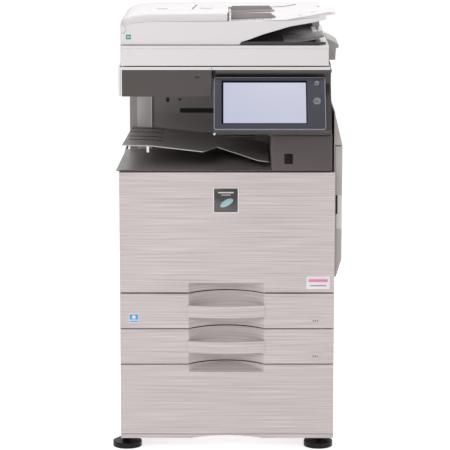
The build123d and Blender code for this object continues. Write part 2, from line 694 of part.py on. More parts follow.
# The housing follows the panel's back at a distance and closes the space above the output trays.
housing_x = (left + 259.0, right - 11.0)
back_gap = 22.0
housing_top = on_panel(panel_len + 2, panel_t + back_gap)
housing_low = on_panel(21, panel_t + back_gap)
housing_outline = [
    (front + 13, z_rail),
    (front + 13, z_rail - 8),
    (housing_top[0], z_rail - 8),
    housing_top,
    housing_low,
    (housing_low[0], housing_low[1] - 4),
    (housing_low[0] + 10, z_lip),
    (front + 125, z_lip),
    (front + 125, z_rail),
]
with BuildPart() as panel_housing:
    side_prism(housing_outline, *housing_x)
    side_prism(
        [
            (housing_top[0] + 3, z_rail - 8 - wall),
            (housing_top[0] + 3, housing_top[1] - 1),
            (housing_low[0] + 4, housing_low[1] - 1),
            (housing_low[0] + 4, housing_low[1] - 4),
            (housing_low[0] + 13, z_lip + wall),
            (front + 126, z_lip + wall),
            (front + 126, z_rail - 8 - wall),
        ],
        housing_x[0] + wall,
        housing_x[1] - wall,
        mode=Mode.SUBTRACT,
    )
    for x in panel_lugs:
        for x0, x1 in ((x - 5, x - slip), (x + 20 + slip, x + 25)):
            panel_block(x0, x1, panel_len - 18, panel_len - 10, panel_t + 9, panel_t + back_gap + 1)
            rod_x(*hinge_at, 5.0, x0, x1)
        rod_x(*hinge_at, 2.5, x - 5, x + 25)
write(panel_housing, "panel_housing")

# ---------------------------------------------------------------- consumables seen behind the front cover
toner_r = 38.0
toner_at = (x_mid - 110.0, z_cover_top - 70.0)
drum_r = 30.0
drum_at = (x_mid + 60.0, z_cover + 150.0)
unit_y = (inner_y + 4.0, inner_y + 380.0)
with BuildPart() as toner_cartridge:
    rod_y(*toner_at, toner_r, *unit_y)
    rod_y(*toner_at, toner_r - 2, unit_y[0] + 3, unit_y[1] - 3, mode=Mode.SUBTRACT)
    block(toner_at[0] - 14, toner_at[0] + 14, unit_y[0] - 3, unit_y[0], toner_at[1] - 6, toner_at[1] + 6)
    block(toner_at[0] - 30, toner_at[0] + 30, unit_y[0] + 20, unit_y[1], toner_at[1] - toner_r - 6,
          toner_at[1] - toner_r + 4)
write(toner_cartridge, "toner_cartridge")

with BuildPart() as drum_unit:
    block(drum_at[0] - 70, drum_at[0] + 70, *unit_y, drum_at[1] - drum_r - 14, drum_at[1] - drum_r - 11)
    for y0 in (unit_y[0], unit_y[1] - 6):
        block(drum_at[0] - 70, drum_at[0] + 70, y0, y0 + 6, drum_at[1] - drum_r - 14, drum_at[1] + 20)
    block(drum_at[0] - 70, drum_at[0] - 40, *unit_y, drum_at[1] - drum_r - 14, drum_at[1] + 20)
    rod_y(*drum_at, 6.0 + running, unit_y[0] - 1, unit_y[1] + 1, mode=Mode.SUBTRACT)
write(drum_unit, "drum_unit")

with BuildPart() as drum:
    rod_y(*drum_at, drum_r, unit_y[0] + 7, unit_y[1] - 7)
    rod_y(*drum_at, drum_r - 2, unit_y[0] + 11, unit_y[1] - 11, mode=Mode.SUBTRACT)
    rod_y(*drum_at, 6.0, *unit_y)
write(drum, "drum")

# ---------------------------------------------------------------- scanner
scan_x = (left + 6.0, right - 19.0)
scan_y = (front + 10.0, back - 20.0)
glass_x = (left + 54.0, left + 54.0 + 440.0)
glass_y = (front + 75.0, front + 75.0 + 306.0)
glass_t = 3.2
top_t = 8.0
rail_at = (scan_y[0] + 36.0, z_scan + 30.0)
rail_r = 4.0
ledge_y = scan_y[0] + 400.0
carriage_y = (scan_y[0] + 24.0, scan_y[0] + 420.0)
carriage_gap = 6.0
mirror_w = 15.0
lamp_w = 40.0
with BuildPart() as scanner_housing:
    tray_shell(*scan_x, *scan_y, z_scan, z_scan + scanner_h - top_t, wall)
    rod_x(*rail_at, rail_r, *scan_x)
    block(*scan_x, ledge_y, ledge_y + 12, z_scan + wall, z_scan + 7)
    for x in (scan_x[0] + 30, scan_x[1] - 60):
        block(x, x + 30, scan_y[0] + 60, scan_y[1] - 60, z_scan - seam, z_scan)
write(scanner_housing, "scanner_housing")

feed_x = (left + 6.0, right - 41.0)
feed_y = (front + 15.0, back - 45.0)
lid_pivot = (feed_y[1] + 10.0, z_feed + 4.0)
lid_knuckle_x = (feed_x[0] + 60.0, feed_x[1] - 100.0)
with BuildPart() as scanner_top:
    block(*scan_x, *scan_y, z_scan_top - top_t, z_scan_top)
    block(*glass_x, *glass_y, z_scan_top - glass_t - 0.3, z_scan_top + 1, mode=Mode.SUBTRACT)
    block(
        glass_x[0] + 8, glass_x[1] - 8, glass_y[0] + 6, glass_y[1] - 6, z_scan_top - top_t - 1, z_scan_top,
        mode=Mode.SUBTRACT,
    )
    for x in lid_knuckle_x:
        for x0, x1 in ((x - 6, x - slip), (x + 40 + slip, x + 46)):
            side_prism(
                [
                    (lid_pivot[0] - 4, z_scan_top - 1),
                    (lid_pivot[0] + 9, z_scan_top - 1),
                    (lid_pivot[0] + 5, lid_pivot[1] + 4),
                    (lid_pivot[0] - 4, lid_pivot[1] + 4),
                ],
                x0,
                x1,
            )
        rod_x(*lid_pivot, 2.0, x - 6, x + 46)
write(scanner_top, "scanner_top")

with BuildPart() as platen_glass:
    block(
        glass_x[0] + 0.3, glass_x[1] - 0.3, glass_y[0] + 0.3, glass_y[1] - 0.3, z_scan_top - glass_t - 0.3,
        z_scan_top - 0.3,
    )
write(platen_glass, "platen_glass")

mirror_x = scan_x[0] + wall + 3.0
lamp_x = mirror_x + mirror_w + carriage_gap
with BuildPart() as mirror_carriage:
    block(mirror_x, mirror_x + mirror_w, *carriage_y, z_scan + 8, z_scan + 43)
    rod_x(*rail_at, rail_r + running, mirror_x, mirror_x + mirror_w, mode=Mode.SUBTRACT)
    block(mirror_x + 5, mirror_x + mirror_w + 1, carriage_y[0] + 30, carriage_y[1] - 30, z_scan + 14, z_scan + 38,
          mode=Mode.SUBTRACT)
write(mirror_carriage, "mirror_carriage")

with BuildPart() as lamp_carriage:
    block(lamp_x, lamp_x + lamp_w, *carriage_y, z_scan + 24, z_scan + 43)
    rod_x(*rail_at, rail_r + running, lamp_x, lamp_x + lamp_w, mode=Mode.SUBTRACT)
    block(lamp_x + 6, lamp_x + lamp_w - 6, carriage_y[0] + 30, carriage_y[1] - 30, z_scan + 34, z_scan + 44,
          mode=Mode.SUBTRACT)
write(lamp_carriage, "lamp_carriage")

stop_y = (front + 165.0, front + 335.0)
with BuildPart() as exit_stopper:
    front_prism(
        [
            (scan_x[1], z_scan - 2),
            (scan_x[1] + 24, z_scan - 2),
            (scan_x[1] + 26, z_scan + 30),
            (scan_x[1] + 33, z_scan + 31),
            (scan_x[1] + 33, z_scan + 39),
            (scan_x[1] + 18, z_scan + 49),
            (scan_x[1], z_scan + 57),
        ],
        *stop_y,
    )
    front_prism(
        [
            (scan_x[1] + wall, z_scan - 5),
            (scan_x[1] + 21, z_scan - 5),
            (scan_x[1] + 23, z_scan + 36),
            (scan_x[1] + wall, z_scan + 46),
        ],
        stop_y[0] + wall,
        stop_y[1] - wall,
        mode=Mode.SUBTRACT,
    )
write(exit_stopper, "exit_stopper")

# ---------------------------------------------------------------- document feeder
feed_split = left + 291.0           # between the feed cover and the document tray
well_top = z_feed + 32.0            # its side and back walls
ridge_z = z_feed + 63.5             # its front wall
feed_gap = 0.5
feed_pivot = (feed_x[0] + 6.0, z_feed + 40.0)
tray_pivot = (feed_split + 8.0, z_feed + 56.0)
skirt_t = 3.0
feed_ear_y = (feed_y[0] + 6.0, feed_y[1] - 9.0)
tray_back = front + 414.0           # back edge of the document tray, in front of the raised rear part
tray_y = (feed_y[0] + skirt_t + 1.0, tray_back)
tray_ear_y = (tray_y[0] + 8.0, tray_back - 15.0)
tray_end = feed_split + 287.0
tray_knee = feed_split + 156.0
feed_roller_at = (feed_split - 52.0, z_feed + 34.0)
feed_roller_y = (front + 130.0, front + 300.0)
boss_r = 9.5
# The left end rolls down: how far the feeder's top drops at each distance from its end.
end_roll = [(0, 23), (3, 19.5), (8, 15.5), (16, 11.5), (28, 8), (51, 4.5), (90, 2), (138, 0.6), (178, 0)]


def tray_top(x):
    """Height of the document tray's surface at x."""
    if x < tray_knee:
        return z_feed + 58 + (x - feed_split) * 6 / (tray_knee - feed_split)
    return z_feed + 64 + (x - tray_knee) * (feeder_h - 64) / (tray_end - tray_knee)


with BuildPart() as adf_base:
    block(*feed_x, *feed_y, z_feed, z_feed + 7)
    block(feed_x[0], feed_split + 20, *feed_y, z_feed, well_top)
    block(
        feed_x[0] + skirt_t, feed_split + 20 - skirt_t, feed_y[0] + skirt_t, feed_y[1] - skirt_t, z_feed + 7,
        well_top + 1, mode=Mode.SUBTRACT,
    )
    front_prism(
        [(feed_x[0], z_feed + 3)]
        + [(feed_x[0] + x, ridge_z - feed_gap - drop) for x, drop in end_roll]
        + [
            (tray_knee, ridge_z - feed_gap),
            (feed_split + 262, tray_top(feed_split + 262) - 6),
            (feed_split + 262, tray_top(feed_split + 262) - 15),
            (feed_split + 226, z_feed + 59),
            (feed_split + 168, z_feed + 49),
            (feed_split + 96, z_feed + 28),
            (feed_split + 58, z_feed + 14),
            (feed_split + 28, z_feed + 5),
        ],
        feed_y[0],
        feed_y[0] + skirt_t,
    )
    rod_y(*feed_pivot, boss_r + feed_gap, feed_y[0] - 1, feed_y[0] + skirt_t + 0.5, mode=Mode.SUBTRACT)
    block(feed_split + 17, feed_split + 20, feed_y[0] + 1, tray_back + 4, z_feed + 5, z_feed + 53)
    plan_prism(
        [
            (feed_split + 3, tray_back + 3),
            (feed_split + 240, tray_back + 3),
            (feed_split + 260, tray_back + 33),
            (feed_split + 260, feed_y[1]),
            (feed_split + 3, feed_y[1]),
        ],
        z_feed + 3,
        z_feed + 63,
    )
    plan_prism(
        [
            (feed_split + 6, tray_back + 6),
            (feed_split + 238, tray_back + 6),
            (feed_split + 257, tray_back + 34),
            (feed_split + 257, feed_y[1] - 3),
            (feed_split + 6, feed_y[1] - 3),
        ],
        z_feed + 7,
        z_feed + 60,
        mode=Mode.SUBTRACT,
    )
    for y0 in (feed_roller_y[0] - 10, feed_roller_y[1] + 4):
        block(feed_roller_at[0] - 8, feed_roller_at[0] + 8, y0, y0 + 6, z_feed + 7, z_feed + 42)
    rod_y(*feed_roller_at, 3.0 + running, feed_roller_y[0] - 11, feed_roller_y[1] + 11, mode=Mode.SUBTRACT)
    for x in lid_knuckle_x:
        block(x, x + 40, feed_y[1] - 1, lid_pivot[0], z_feed, z_feed + 8)
        rod_x(*lid_pivot, 4.0, x, x + 40)
        rod_x(*lid_pivot, 2.0 + running, x, x + 40, mode=Mode.SUBTRACT)
    for y0 in feed_ear_y:
        block(feed_pivot[0] - ear_r, feed_pivot[0] + ear_r, y0, y0 + 3, z_feed + 5, feed_pivot[1])
        rod_y(*feed_pivot, ear_r, y0, y0 + 3)
        rod_y(*feed_pivot, hinge_r + running, y0 - 1, y0 + 4, mode=Mode.SUBTRACT)
    for y0 in tray_ear_y:
        block(tray_pivot[0] - ear_r, feed_split + 19, y0, y0 + 3, z_feed + 48, z_feed + 53)
        block(tray_pivot[0] - ear_r, tray_pivot[0] + ear_r, y0, y0 + 3, z_feed + 48, tray_pivot[1])
        rod_y(*tray_pivot, ear_r, y0, y0 + 3)
        rod_y(*tray_pivot, hinge_r + running, y0 - 1, y0 + 4, mode=Mode.SUBTRACT)
write(adf_base, "adf_base")

cover_t = 3.0
cover_low = well_top + 3.5
over_feeder = z_feed_top + 10.0


def cover_section(x, drop, t):
    """Section of the feed cover's skin at x, t inside its outer face and lowered by the drop; a pending face."""
    low, lip = cover_low - (1 if t else 0), feed_y[0] + (7 if t else 0)
    with BuildSketch(Plane.YZ.offset(x)) as outline:
        with BuildLine():
            Polyline(
                (lip, low),
                (lip, z_feed + 65 - drop - t * 0.4),
                (feed_y[0] + 33 + t * 0.4, z_feed + 78 - drop - t),
                (feed_y[0] + 60, z_feed + 80 - drop - t),
                (feed_y[1] - t, z_feed + 64 - drop - t),
                (feed_y[1] - t, low),
                close=True,
            )
        make_face()
    return outline.sketch


with BuildPart() as feed_cover:
    outside = [(feed_x[0] + x, drop) for x, drop in end_roll] + [(feed_split, 0)]
    inside = [(feed_x[0] + x, drop + 0.5) for x, drop in end_roll if x >= cover_t] + [(feed_split + 1, 0)]
    loft([cover_section(x, drop, 0) for x, drop in outside], ruled=True)
    loft([cover_section(x, drop, cover_t) for x, drop in inside], ruled=True, mode=Mode.SUBTRACT)
    front_prism(
        [(feed_x[0] - 1, cover_low - 2)]
        + [(feed_x[0] - 1, ridge_z - end_roll[0][1])]
        + [(feed_x[0] + x, ridge_z - drop) for x, drop in end_roll]
        + [(feed_split + 1, ridge_z), (feed_split + 1, cover_low - 2)],
        feed_y[0] - 1,
        feed_y[0] + skirt_t + 1,
        mode=Mode.SUBTRACT,
    )
    for y0 in feed_ear_y:
        block(
            feed_x[0] - 1, feed_pivot[0] + 5, y0 - 1.5, y0 + 4.5, well_top, feed_pivot[1] + 4,
            mode=Mode.SUBTRACT,
        )
    rod_y(*feed_pivot, hinge_r, feed_y[0] + 4, feed_ear_y[0] + 5)
    rod_y(*feed_pivot, hinge_r, feed_ear_y[1] - 2, feed_y[1] - 1)
write(feed_cover, "feed_cover")

with BuildPart() as document_tray:
    front_prism(
        [
            (feed_split + 3, tray_top(feed_split + 3) - 4),
            (tray_knee, tray_top(tray_knee) - 4),
            (tray_end, tray_top(tray_end) - 5),
            (tray_end, tray_top(tray_end)),
            (tray_knee, tray_top(tray_knee)),
            (feed_split + 3, tray_top(feed_split + 3)),
        ],
        feed_y[0],
        tray_back,
    )
    front_prism(
        [
            (feed_split, z_feed + 40),
            (feed_split, ridge_z + 1),
            (tray_knee, ridge_z + 1),
            (feed_split + 262.5, tray_top(feed_split + 262.5) - 5),
            (feed_split + 262.5, z_feed + 40),
        ],
        feed_y[0] - 1,
        tray_y[0],
        mode=Mode.SUBTRACT,
    )
    for y0 in (tray_y[0], tray_back - 6):
        front_prism(
            [
                (feed_split + 80, tray_top(feed_split + 80) - 1),
                (tray_knee, tray_top(tray_knee) - 1),
                (tray_end - 4, tray_top(tray_end - 4) - 1),
                (tray_end - 16, tray_top(tray_end - 16) + 3),
                (tray_knee, tray_top(tray_knee) + 2.5),
                (feed_split + 100, tray_top(feed_split + 100) + 2),
            ],
            y0,
            y0 + 6,
        )
    plan_prism(
        [(tray_end - 96, tray_back + 1), (tray_end + 1, tray_back + 1), (tray_end + 1, feed_y[0] + 118)],
        z_feed,
        over_feeder + 20,
        mode=Mode.SUBTRACT,
    )
    for y0 in tray_ear_y:
        block(
            feed_split, feed_split + 26, y0 - 1.5, y0 + 4.5, z_feed + 44, z_feed + 64, mode=Mode.SUBTRACT,
        )
        rod_y(*tray_pivot, hinge_r, y0 - 3, y0 + 6)
write(document_tray, "document_tray")

guide_x = (feed_split + 10.0, feed_split + 130.0)
guides_y = (front + 115.0, front + 318.0)
for label, y, side in (("front", guides_y[0], -1), ("rear", guides_y[1], 1)):
    low = [(x, tray_top(x) + slip) for x in guide_x]
    with BuildPart() as document_guide:
        front_prism(
            low + [(guide_x[1] - 14, tray_top(guide_x[1]) + 13), (guide_x[0] + 5, tray_top(guide_x[0]) + 17),
                   (guide_x[0], tray_top(guide_x[0]) + 14)],
            min(y, y + side * 4),
            max(y, y + side * 4),
        )
        front_prism(
            low + [(guide_x[1], low[1][1] + 3), (guide_x[0], low[0][1] + 3)],
            min(y, y - side * 32),
            max(y, y - side * 32),
        )
    write(document_guide, f"document_guide_{label}")

with BuildPart() as feed_roller:
    rod_y(*feed_roller_at, 3.0, feed_roller_y[0] - 10, feed_roller_y[1] + 10)
    for y in (feed_roller_y[0] + 50, feed_roller_y[1] - 80):
        rod_y(*feed_roller_at, 12.0, y, y + 30)
write(feed_roller, "feed_roller")
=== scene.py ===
"""Looks of the office copier: its mouldings, finishes, small fittings, floor, lights and camera.

Metres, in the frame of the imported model: X to the right, Y to the back, Z up from the floor.
"""

import json
import math

import bmesh
import bpy
import numpy as np
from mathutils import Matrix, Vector

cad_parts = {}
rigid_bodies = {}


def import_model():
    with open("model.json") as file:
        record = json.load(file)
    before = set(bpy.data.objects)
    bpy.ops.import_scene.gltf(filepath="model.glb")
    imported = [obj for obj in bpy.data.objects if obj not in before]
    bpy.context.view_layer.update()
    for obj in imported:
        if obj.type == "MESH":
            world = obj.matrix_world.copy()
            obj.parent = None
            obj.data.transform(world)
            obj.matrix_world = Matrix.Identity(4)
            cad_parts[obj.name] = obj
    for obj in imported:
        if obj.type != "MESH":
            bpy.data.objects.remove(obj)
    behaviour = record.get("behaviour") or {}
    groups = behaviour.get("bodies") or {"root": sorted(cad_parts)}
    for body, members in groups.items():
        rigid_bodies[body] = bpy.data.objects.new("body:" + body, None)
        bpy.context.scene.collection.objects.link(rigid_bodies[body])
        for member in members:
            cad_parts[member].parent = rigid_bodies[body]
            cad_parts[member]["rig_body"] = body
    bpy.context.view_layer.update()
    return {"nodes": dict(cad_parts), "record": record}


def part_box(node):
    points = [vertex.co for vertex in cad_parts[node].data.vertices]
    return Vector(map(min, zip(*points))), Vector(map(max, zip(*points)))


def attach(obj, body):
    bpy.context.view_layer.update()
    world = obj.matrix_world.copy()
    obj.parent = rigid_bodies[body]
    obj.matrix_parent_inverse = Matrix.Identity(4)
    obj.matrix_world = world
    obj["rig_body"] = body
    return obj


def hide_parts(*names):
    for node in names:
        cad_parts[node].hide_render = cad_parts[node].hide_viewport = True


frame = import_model()

MM = 0.001


def edges_of(node):
    """Lowest and highest corner of a CAD node as two arrays."""
    low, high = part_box(node)
    return np.array(low), np.array(high)


# ---- shader groups


def new_group(name, inputs, outputs):
    """A shader node group with named float, colour or vector sockets; returns it with its two ends."""
    group = bpy.data.node_groups.new(name, "ShaderNodeTree")
    for label, kind, value in inputs:
        socket = group.interface.new_socket(label, in_out="INPUT", socket_type=kind)
        if value is not None:
            socket.default_value = value
    for label, kind in outputs:
        group.interface.new_socket(label, in_out="OUTPUT", socket_type=kind)
    start = group.nodes.new("NodeGroupInput")
    end = group.nodes.new("NodeGroupOutput")
    return group, start, end


def add(tree, kind, **values):
    """Adds a node; plain keywords set properties, and a keyword in_NAME sets the input of that name."""
    node = tree.nodes.new(kind)
    for key, value in values.items():
        if key.startswith("in_"):
            node.inputs[key[3:]].default_value = value
        else:
            setattr(node, key, value)
    return node


def math_node(tree, operation, a, b=0.0, clamp=False):
    """One Math node; a and b are sockets or numbers."""
    node = add(tree, "ShaderNodeMath", operation=operation, use_clamp=clamp)
    for index, value in enumerate((a, b)):
        if isinstance(value, (int, float)):
            node.inputs[index].default_value = value
        else:
            tree.links.new(value, node.inputs[index])
    return node.outputs[0]


FLOAT, COLOUR = "NodeSocketFloat", "NodeSocketColor"
# The colour sockets of a Mix node, which shares its names with its other kinds of socket.
MIX_FACTOR, MIX_A, MIX_B, MIX_RESULT = 0, 6, 7, 2
GRAIN_SCALE = 1400.0
DUST_COLOUR = (0.66, 0.64, 0.60, 1)


def shaded(group, start, end, value):
    """Multiplies the incoming colour by a grey value and gives it out."""
    shade = add(group, "ShaderNodeCombineColor")
    for channel in range(3):
        group.links.new(value, shade.inputs[channel])
    tint = add(group, "ShaderNodeMix", data_type="RGBA", blend_type="MULTIPLY", in_Factor=1.0)
    group.links.new(start.outputs["Colour"], tint.inputs[MIX_A])
    group.links.new(shade.outputs[0], tint.inputs[MIX_B])
    group.links.new(tint.outputs[MIX_RESULT], end.inputs["Colour"])


def stretched_noise(group, scale, detail=1.0):
    """Noise on Object coordinates stretched by a scale for each axis; returns its value."""
    stretch = add(group, "ShaderNodeMapping", in_Scale=scale)
    group.links.new(add(group, "ShaderNodeTexCoord").outputs["Object"], stretch.inputs["Vector"])
    noise = add(group, "ShaderNodeTexNoise", in_Scale=1.0, in_Detail=detail, in_Roughness=0.5)
    group.links.new(stretch.outputs[0], noise.inputs["Vector"])
    return noise.outputs[0]


def swing(group, value, amount):
    """A noise value less a half, times an amount."""
    return math_node(group, "MULTIPLY", math_node(group, "SUBTRACT", value, 0.5), amount)


def moulded_group():
    """Grain of moulded plastic: a fine noise gives height, and a slow one mottles colour and roughness."""
    group, start, end = new_group(
        "Moulded grain",
        [("Grain size", FLOAT, 1.0), ("Mottle", FLOAT, 0.03), ("Rough base", FLOAT, 0.4),
         ("Rough spread", FLOAT, 0.08), ("Colour", COLOUR, (1, 1, 1, 1))],
        [("Colour", COLOUR), ("Roughness", FLOAT), ("Height", FLOAT)],
    )
    links = group.links
    place = add(group, "ShaderNodeTexCoord").outputs["Object"]
    fine = add(group, "ShaderNodeTexNoise", in_Detail=2.0, in_Roughness=0.6)
    links.new(place, fine.inputs["Vector"])
    links.new(math_node(group, "DIVIDE", GRAIN_SCALE, start.outputs["Grain size"]), fine.inputs["Scale"])
    broad = add(group, "ShaderNodeTexNoise", in_Scale=7.0, in_Detail=3.0, in_Roughness=0.55)
    links.new(place, broad.inputs["Vector"])
    mottle = swing(group, broad.outputs[0], start.outputs["Mottle"])
    shaded(group, start, end, math_node(group, "ADD", mottle, 1.0))
    spread = swing(group, broad.outputs[0], start.outputs["Rough spread"])
    links.new(math_node(group, "ADD", spread, start.outputs["Rough base"]), end.inputs["Roughness"])
    links.new(fine.outputs[0], end.inputs["Height"])
    return group


def level_lines_group():
    """Uneven level lines across a front panel: noise stretched far along X, so it changes with height."""
    group, start, end = new_group(
        "Level lines",
        [("Colour", COLOUR, (1, 1, 1, 1)), ("Contrast", FLOAT, 0.05)],
        [("Colour", COLOUR), ("Height", FLOAT)],
    )
    broad = stretched_noise(group, (4.0, 4.0, 400.0))
    fine = stretched_noise(group, (8.0, 8.0, 900.0))
    lines = math_node(group, "ADD", math_node(group, "MULTIPLY", broad, 0.7),
                      math_node(group, "MULTIPLY", fine, 0.3))
    shaded(group, start, end, math_node(group, "ADD", swing(group, lines, start.outputs["Contrast"]), 1.0))
    group.links.new(lines, end.inputs["Height"])
    return group


def brushed_group():
    """Rolled sheet steel: fine streaks along X in colour, roughness and height, with a cloud of spangle."""
    group, start, end = new_group(
        "Rolled sheet",
        [("Colour", COLOUR, (1, 1, 1, 1)), ("Rough base", FLOAT, 0.35)],
        [("Colour", COLOUR), ("Roughness", FLOAT), ("Height", FLOAT)],
    )
    links = group.links
    streak = stretched_noise(group, (12.0, 900.0, 900.0), detail=2.0)
    cloud = add(group, "ShaderNodeTexVoronoi", in_Scale=60.0)
    links.new(add(group, "ShaderNodeTexCoord").outputs["Object"], cloud.inputs["Vector"])
    value = math_node(
        group, "ADD", math_node(group, "MULTIPLY", streak, 0.12),
        math_node(group, "MULTIPLY", cloud.outputs[0], 0.10)
    )
    shaded(group, start, end, math_node(group, "ADD", value, 0.88))
    links.new(math_node(group, "ADD", swing(group, streak, 0.25), start.outputs["Rough base"]),
              end.inputs["Roughness"])
    links.new(streak, end.inputs["Height"])
    return group


def dust_group():
    """Thin dust that settles on faces looking up: a noise mask times the upward part of the normal."""
    group, start, end = new_group(
        "Settled dust",
        [("Colour", COLOUR, (1, 1, 1, 1)), ("Amount", FLOAT, 0.1)],
        [("Colour", COLOUR), ("Mask", FLOAT)],
    )
    links = group.links
    geometry = add(group, "ShaderNodeNewGeometry")
    up = add(group, "ShaderNodeSeparateXYZ")
    links.new(geometry.outputs["Normal"], up.inputs[0])
    facing = math_node(group, "MULTIPLY", up.outputs[2], 1.0, clamp=True)
    specks = add(group, "ShaderNodeTexNoise", in_Scale=160.0, in_Detail=4.0, in_Roughness=0.7)
    links.new(add(group, "ShaderNodeTexCoord").outputs["Object"], specks.inputs["Vector"])
    mask = math_node(group, "MULTIPLY", facing, math_node(group, "MULTIPLY", specks.outputs[0],
                                                          start.outputs["Amount"]))
    mix = add(group, "ShaderNodeMix", data_type="RGBA")
    links.new(mask, mix.inputs[MIX_FACTOR])
    links.new(start.outputs["Colour"], mix.inputs[MIX_A])
    mix.inputs[MIX_B].default_value = DUST_COLOUR
    links.new(mix.outputs[MIX_RESULT], end.inputs["Colour"])
    links.new(mask, end.inputs["Mask"])
    return group


MOULDED = moulded_group()
LINES = level_lines_group()
ROLLED = brushed_group()
DUST = dust_group()


def bare_material(name):
    """A material with an empty tree, its Principled shader and output."""
    made = bpy.data.materials.new(name)
    made.use_nodes = True
    tree = made.node_tree
    shader = tree.nodes["Principled BSDF"]
    return made, tree, shader


def use_group(tree, group, **values):
    """Places a node group and sets its named inputs (underscores stand for spaces)."""
    node = tree.nodes.new("ShaderNodeGroup")
    node.node_tree = group
    for key, value in values.items():
        node.inputs[key.replace("_", " ")].default_value = value
    return node


def bump(tree, shader, height, distance, strength=1.0):
    """A Bump node from a height into the shader's normal."""
    node = add(tree, "ShaderNodeBump")
    node.inputs["Strength"].default_value = strength
    node.inputs["Distance"].default_value = distance
    tree.links.new(height, node.inputs["Height"])
    tree.links.new(node.outputs[0], shader.inputs["Normal"])


def plastic(name, colour, rough, grain=1.0, mottle=0.03, depth=0.02, coat=0.0, lines=0.0, dust=0.08, ior=1.5):
    """Moulded plastic: grain, optional level lines and a little dust on top."""
    made, tree, shader = bare_material(name)
    moulded = use_group(tree, MOULDED, Grain_size=grain, Mottle=mottle, Rough_base=rough, Colour=(*colour, 1))
    colour_out = moulded.outputs["Colour"]
    height = moulded.outputs["Height"]
    if lines:
        ruled = use_group(tree, LINES, Contrast=lines)
        tree.links.new(colour_out, ruled.inputs["Colour"])
        colour_out = ruled.outputs["Colour"]
        height = math_node(tree, "ADD", math_node(tree, "MULTIPLY", height, 0.06), ruled.outputs["Height"])
    if dust:
        dusty = use_group(tree, DUST, Amount=dust)
        tree.links.new(colour_out, dusty.inputs["Colour"])
        colour_out = dusty.outputs["Colour"]
    tree.links.new(colour_out, shader.inputs["Base Color"])
    tree.links.new(moulded.outputs["Roughness"], shader.inputs["Roughness"])
    shader.inputs["Coat Weight"].default_value = coat
    shader.inputs["Coat Roughness"].default_value = 0.08
    shader.inputs["IOR"].default_value = ior
    bump(tree, shader, height, (0.25 if lines else depth) * MM)
    return made


def metal(name, colour, rough, depth=0.01):
    """Rolled or plated metal."""
    made, tree, shader = bare_material(name)
    rolled = use_group(tree, ROLLED, Rough_base=rough, Colour=(*colour, 1))
    tree.links.new(rolled.outputs["Colour"], shader.inputs["Base Color"])
    tree.links.new(rolled.outputs["Roughness"], shader.inputs["Roughness"])
    shader.inputs["Metallic"].default_value = 1.0
    bump(tree, shader, rolled.outputs["Height"], depth * MM)
    return made


def clear_glass(name, colour, rough=0.02):
    """Clear float glass."""
    made, _, shader = bare_material(name)
    shader.inputs["Base Color"].default_value = (*colour, 1)
    shader.inputs["Roughness"].default_value = rough
    shader.inputs["Transmission Weight"].default_value = 1.0
    shader.inputs["IOR"].default_value = 1.5
    return made


def lit_screen(name):
    """A lit display under glass: a pale even glow, a little bluer at its lower left."""
    made, tree, shader = bare_material(name)
    low, high = edges_of("panel_screen")
    place = add(tree, "ShaderNodeTexCoord").outputs["Object"]
    fit = add(tree, "ShaderNodeMapping", vector_type="TEXTURE")
    fit.inputs["Location"].default_value = tuple(low)
    fit.inputs["Scale"].default_value = tuple(high - low)
    tree.links.new(place, fit.inputs["Vector"])
    parts = add(tree, "ShaderNodeSeparateXYZ")
    tree.links.new(fit.outputs[0], parts.inputs[0])
    blend = math_node(
        tree, "ADD", math_node(tree, "MULTIPLY", parts.outputs[0], 0.5),
        math_node(tree, "MULTIPLY", parts.outputs[2], 0.5), clamp=True,
    )
    ramp = add(tree, "ShaderNodeValToRGB")
    ramp.color_ramp.elements[0].color = (0.480, 0.500, 0.640, 1)
    ramp.color_ramp.elements[1].color = (0.535, 0.545, 0.640, 1)
    tree.links.new(blend, ramp.inputs[0])
    tree.links.new(ramp.outputs[0], shader.inputs["Emission Color"])
    shader.inputs["Base Color"].default_value = (0.05, 0.05, 0.06, 1)
    shader.inputs["Emission Strength"].default_value = 1.0
    shader.inputs["Roughness"].default_value = 0.12
    return made


def clean(name, colour, rough, **finish):
    """Moulded plastic or print that keeps no dust."""
    return plastic(name, colour, rough, dust=0.0, **finish)


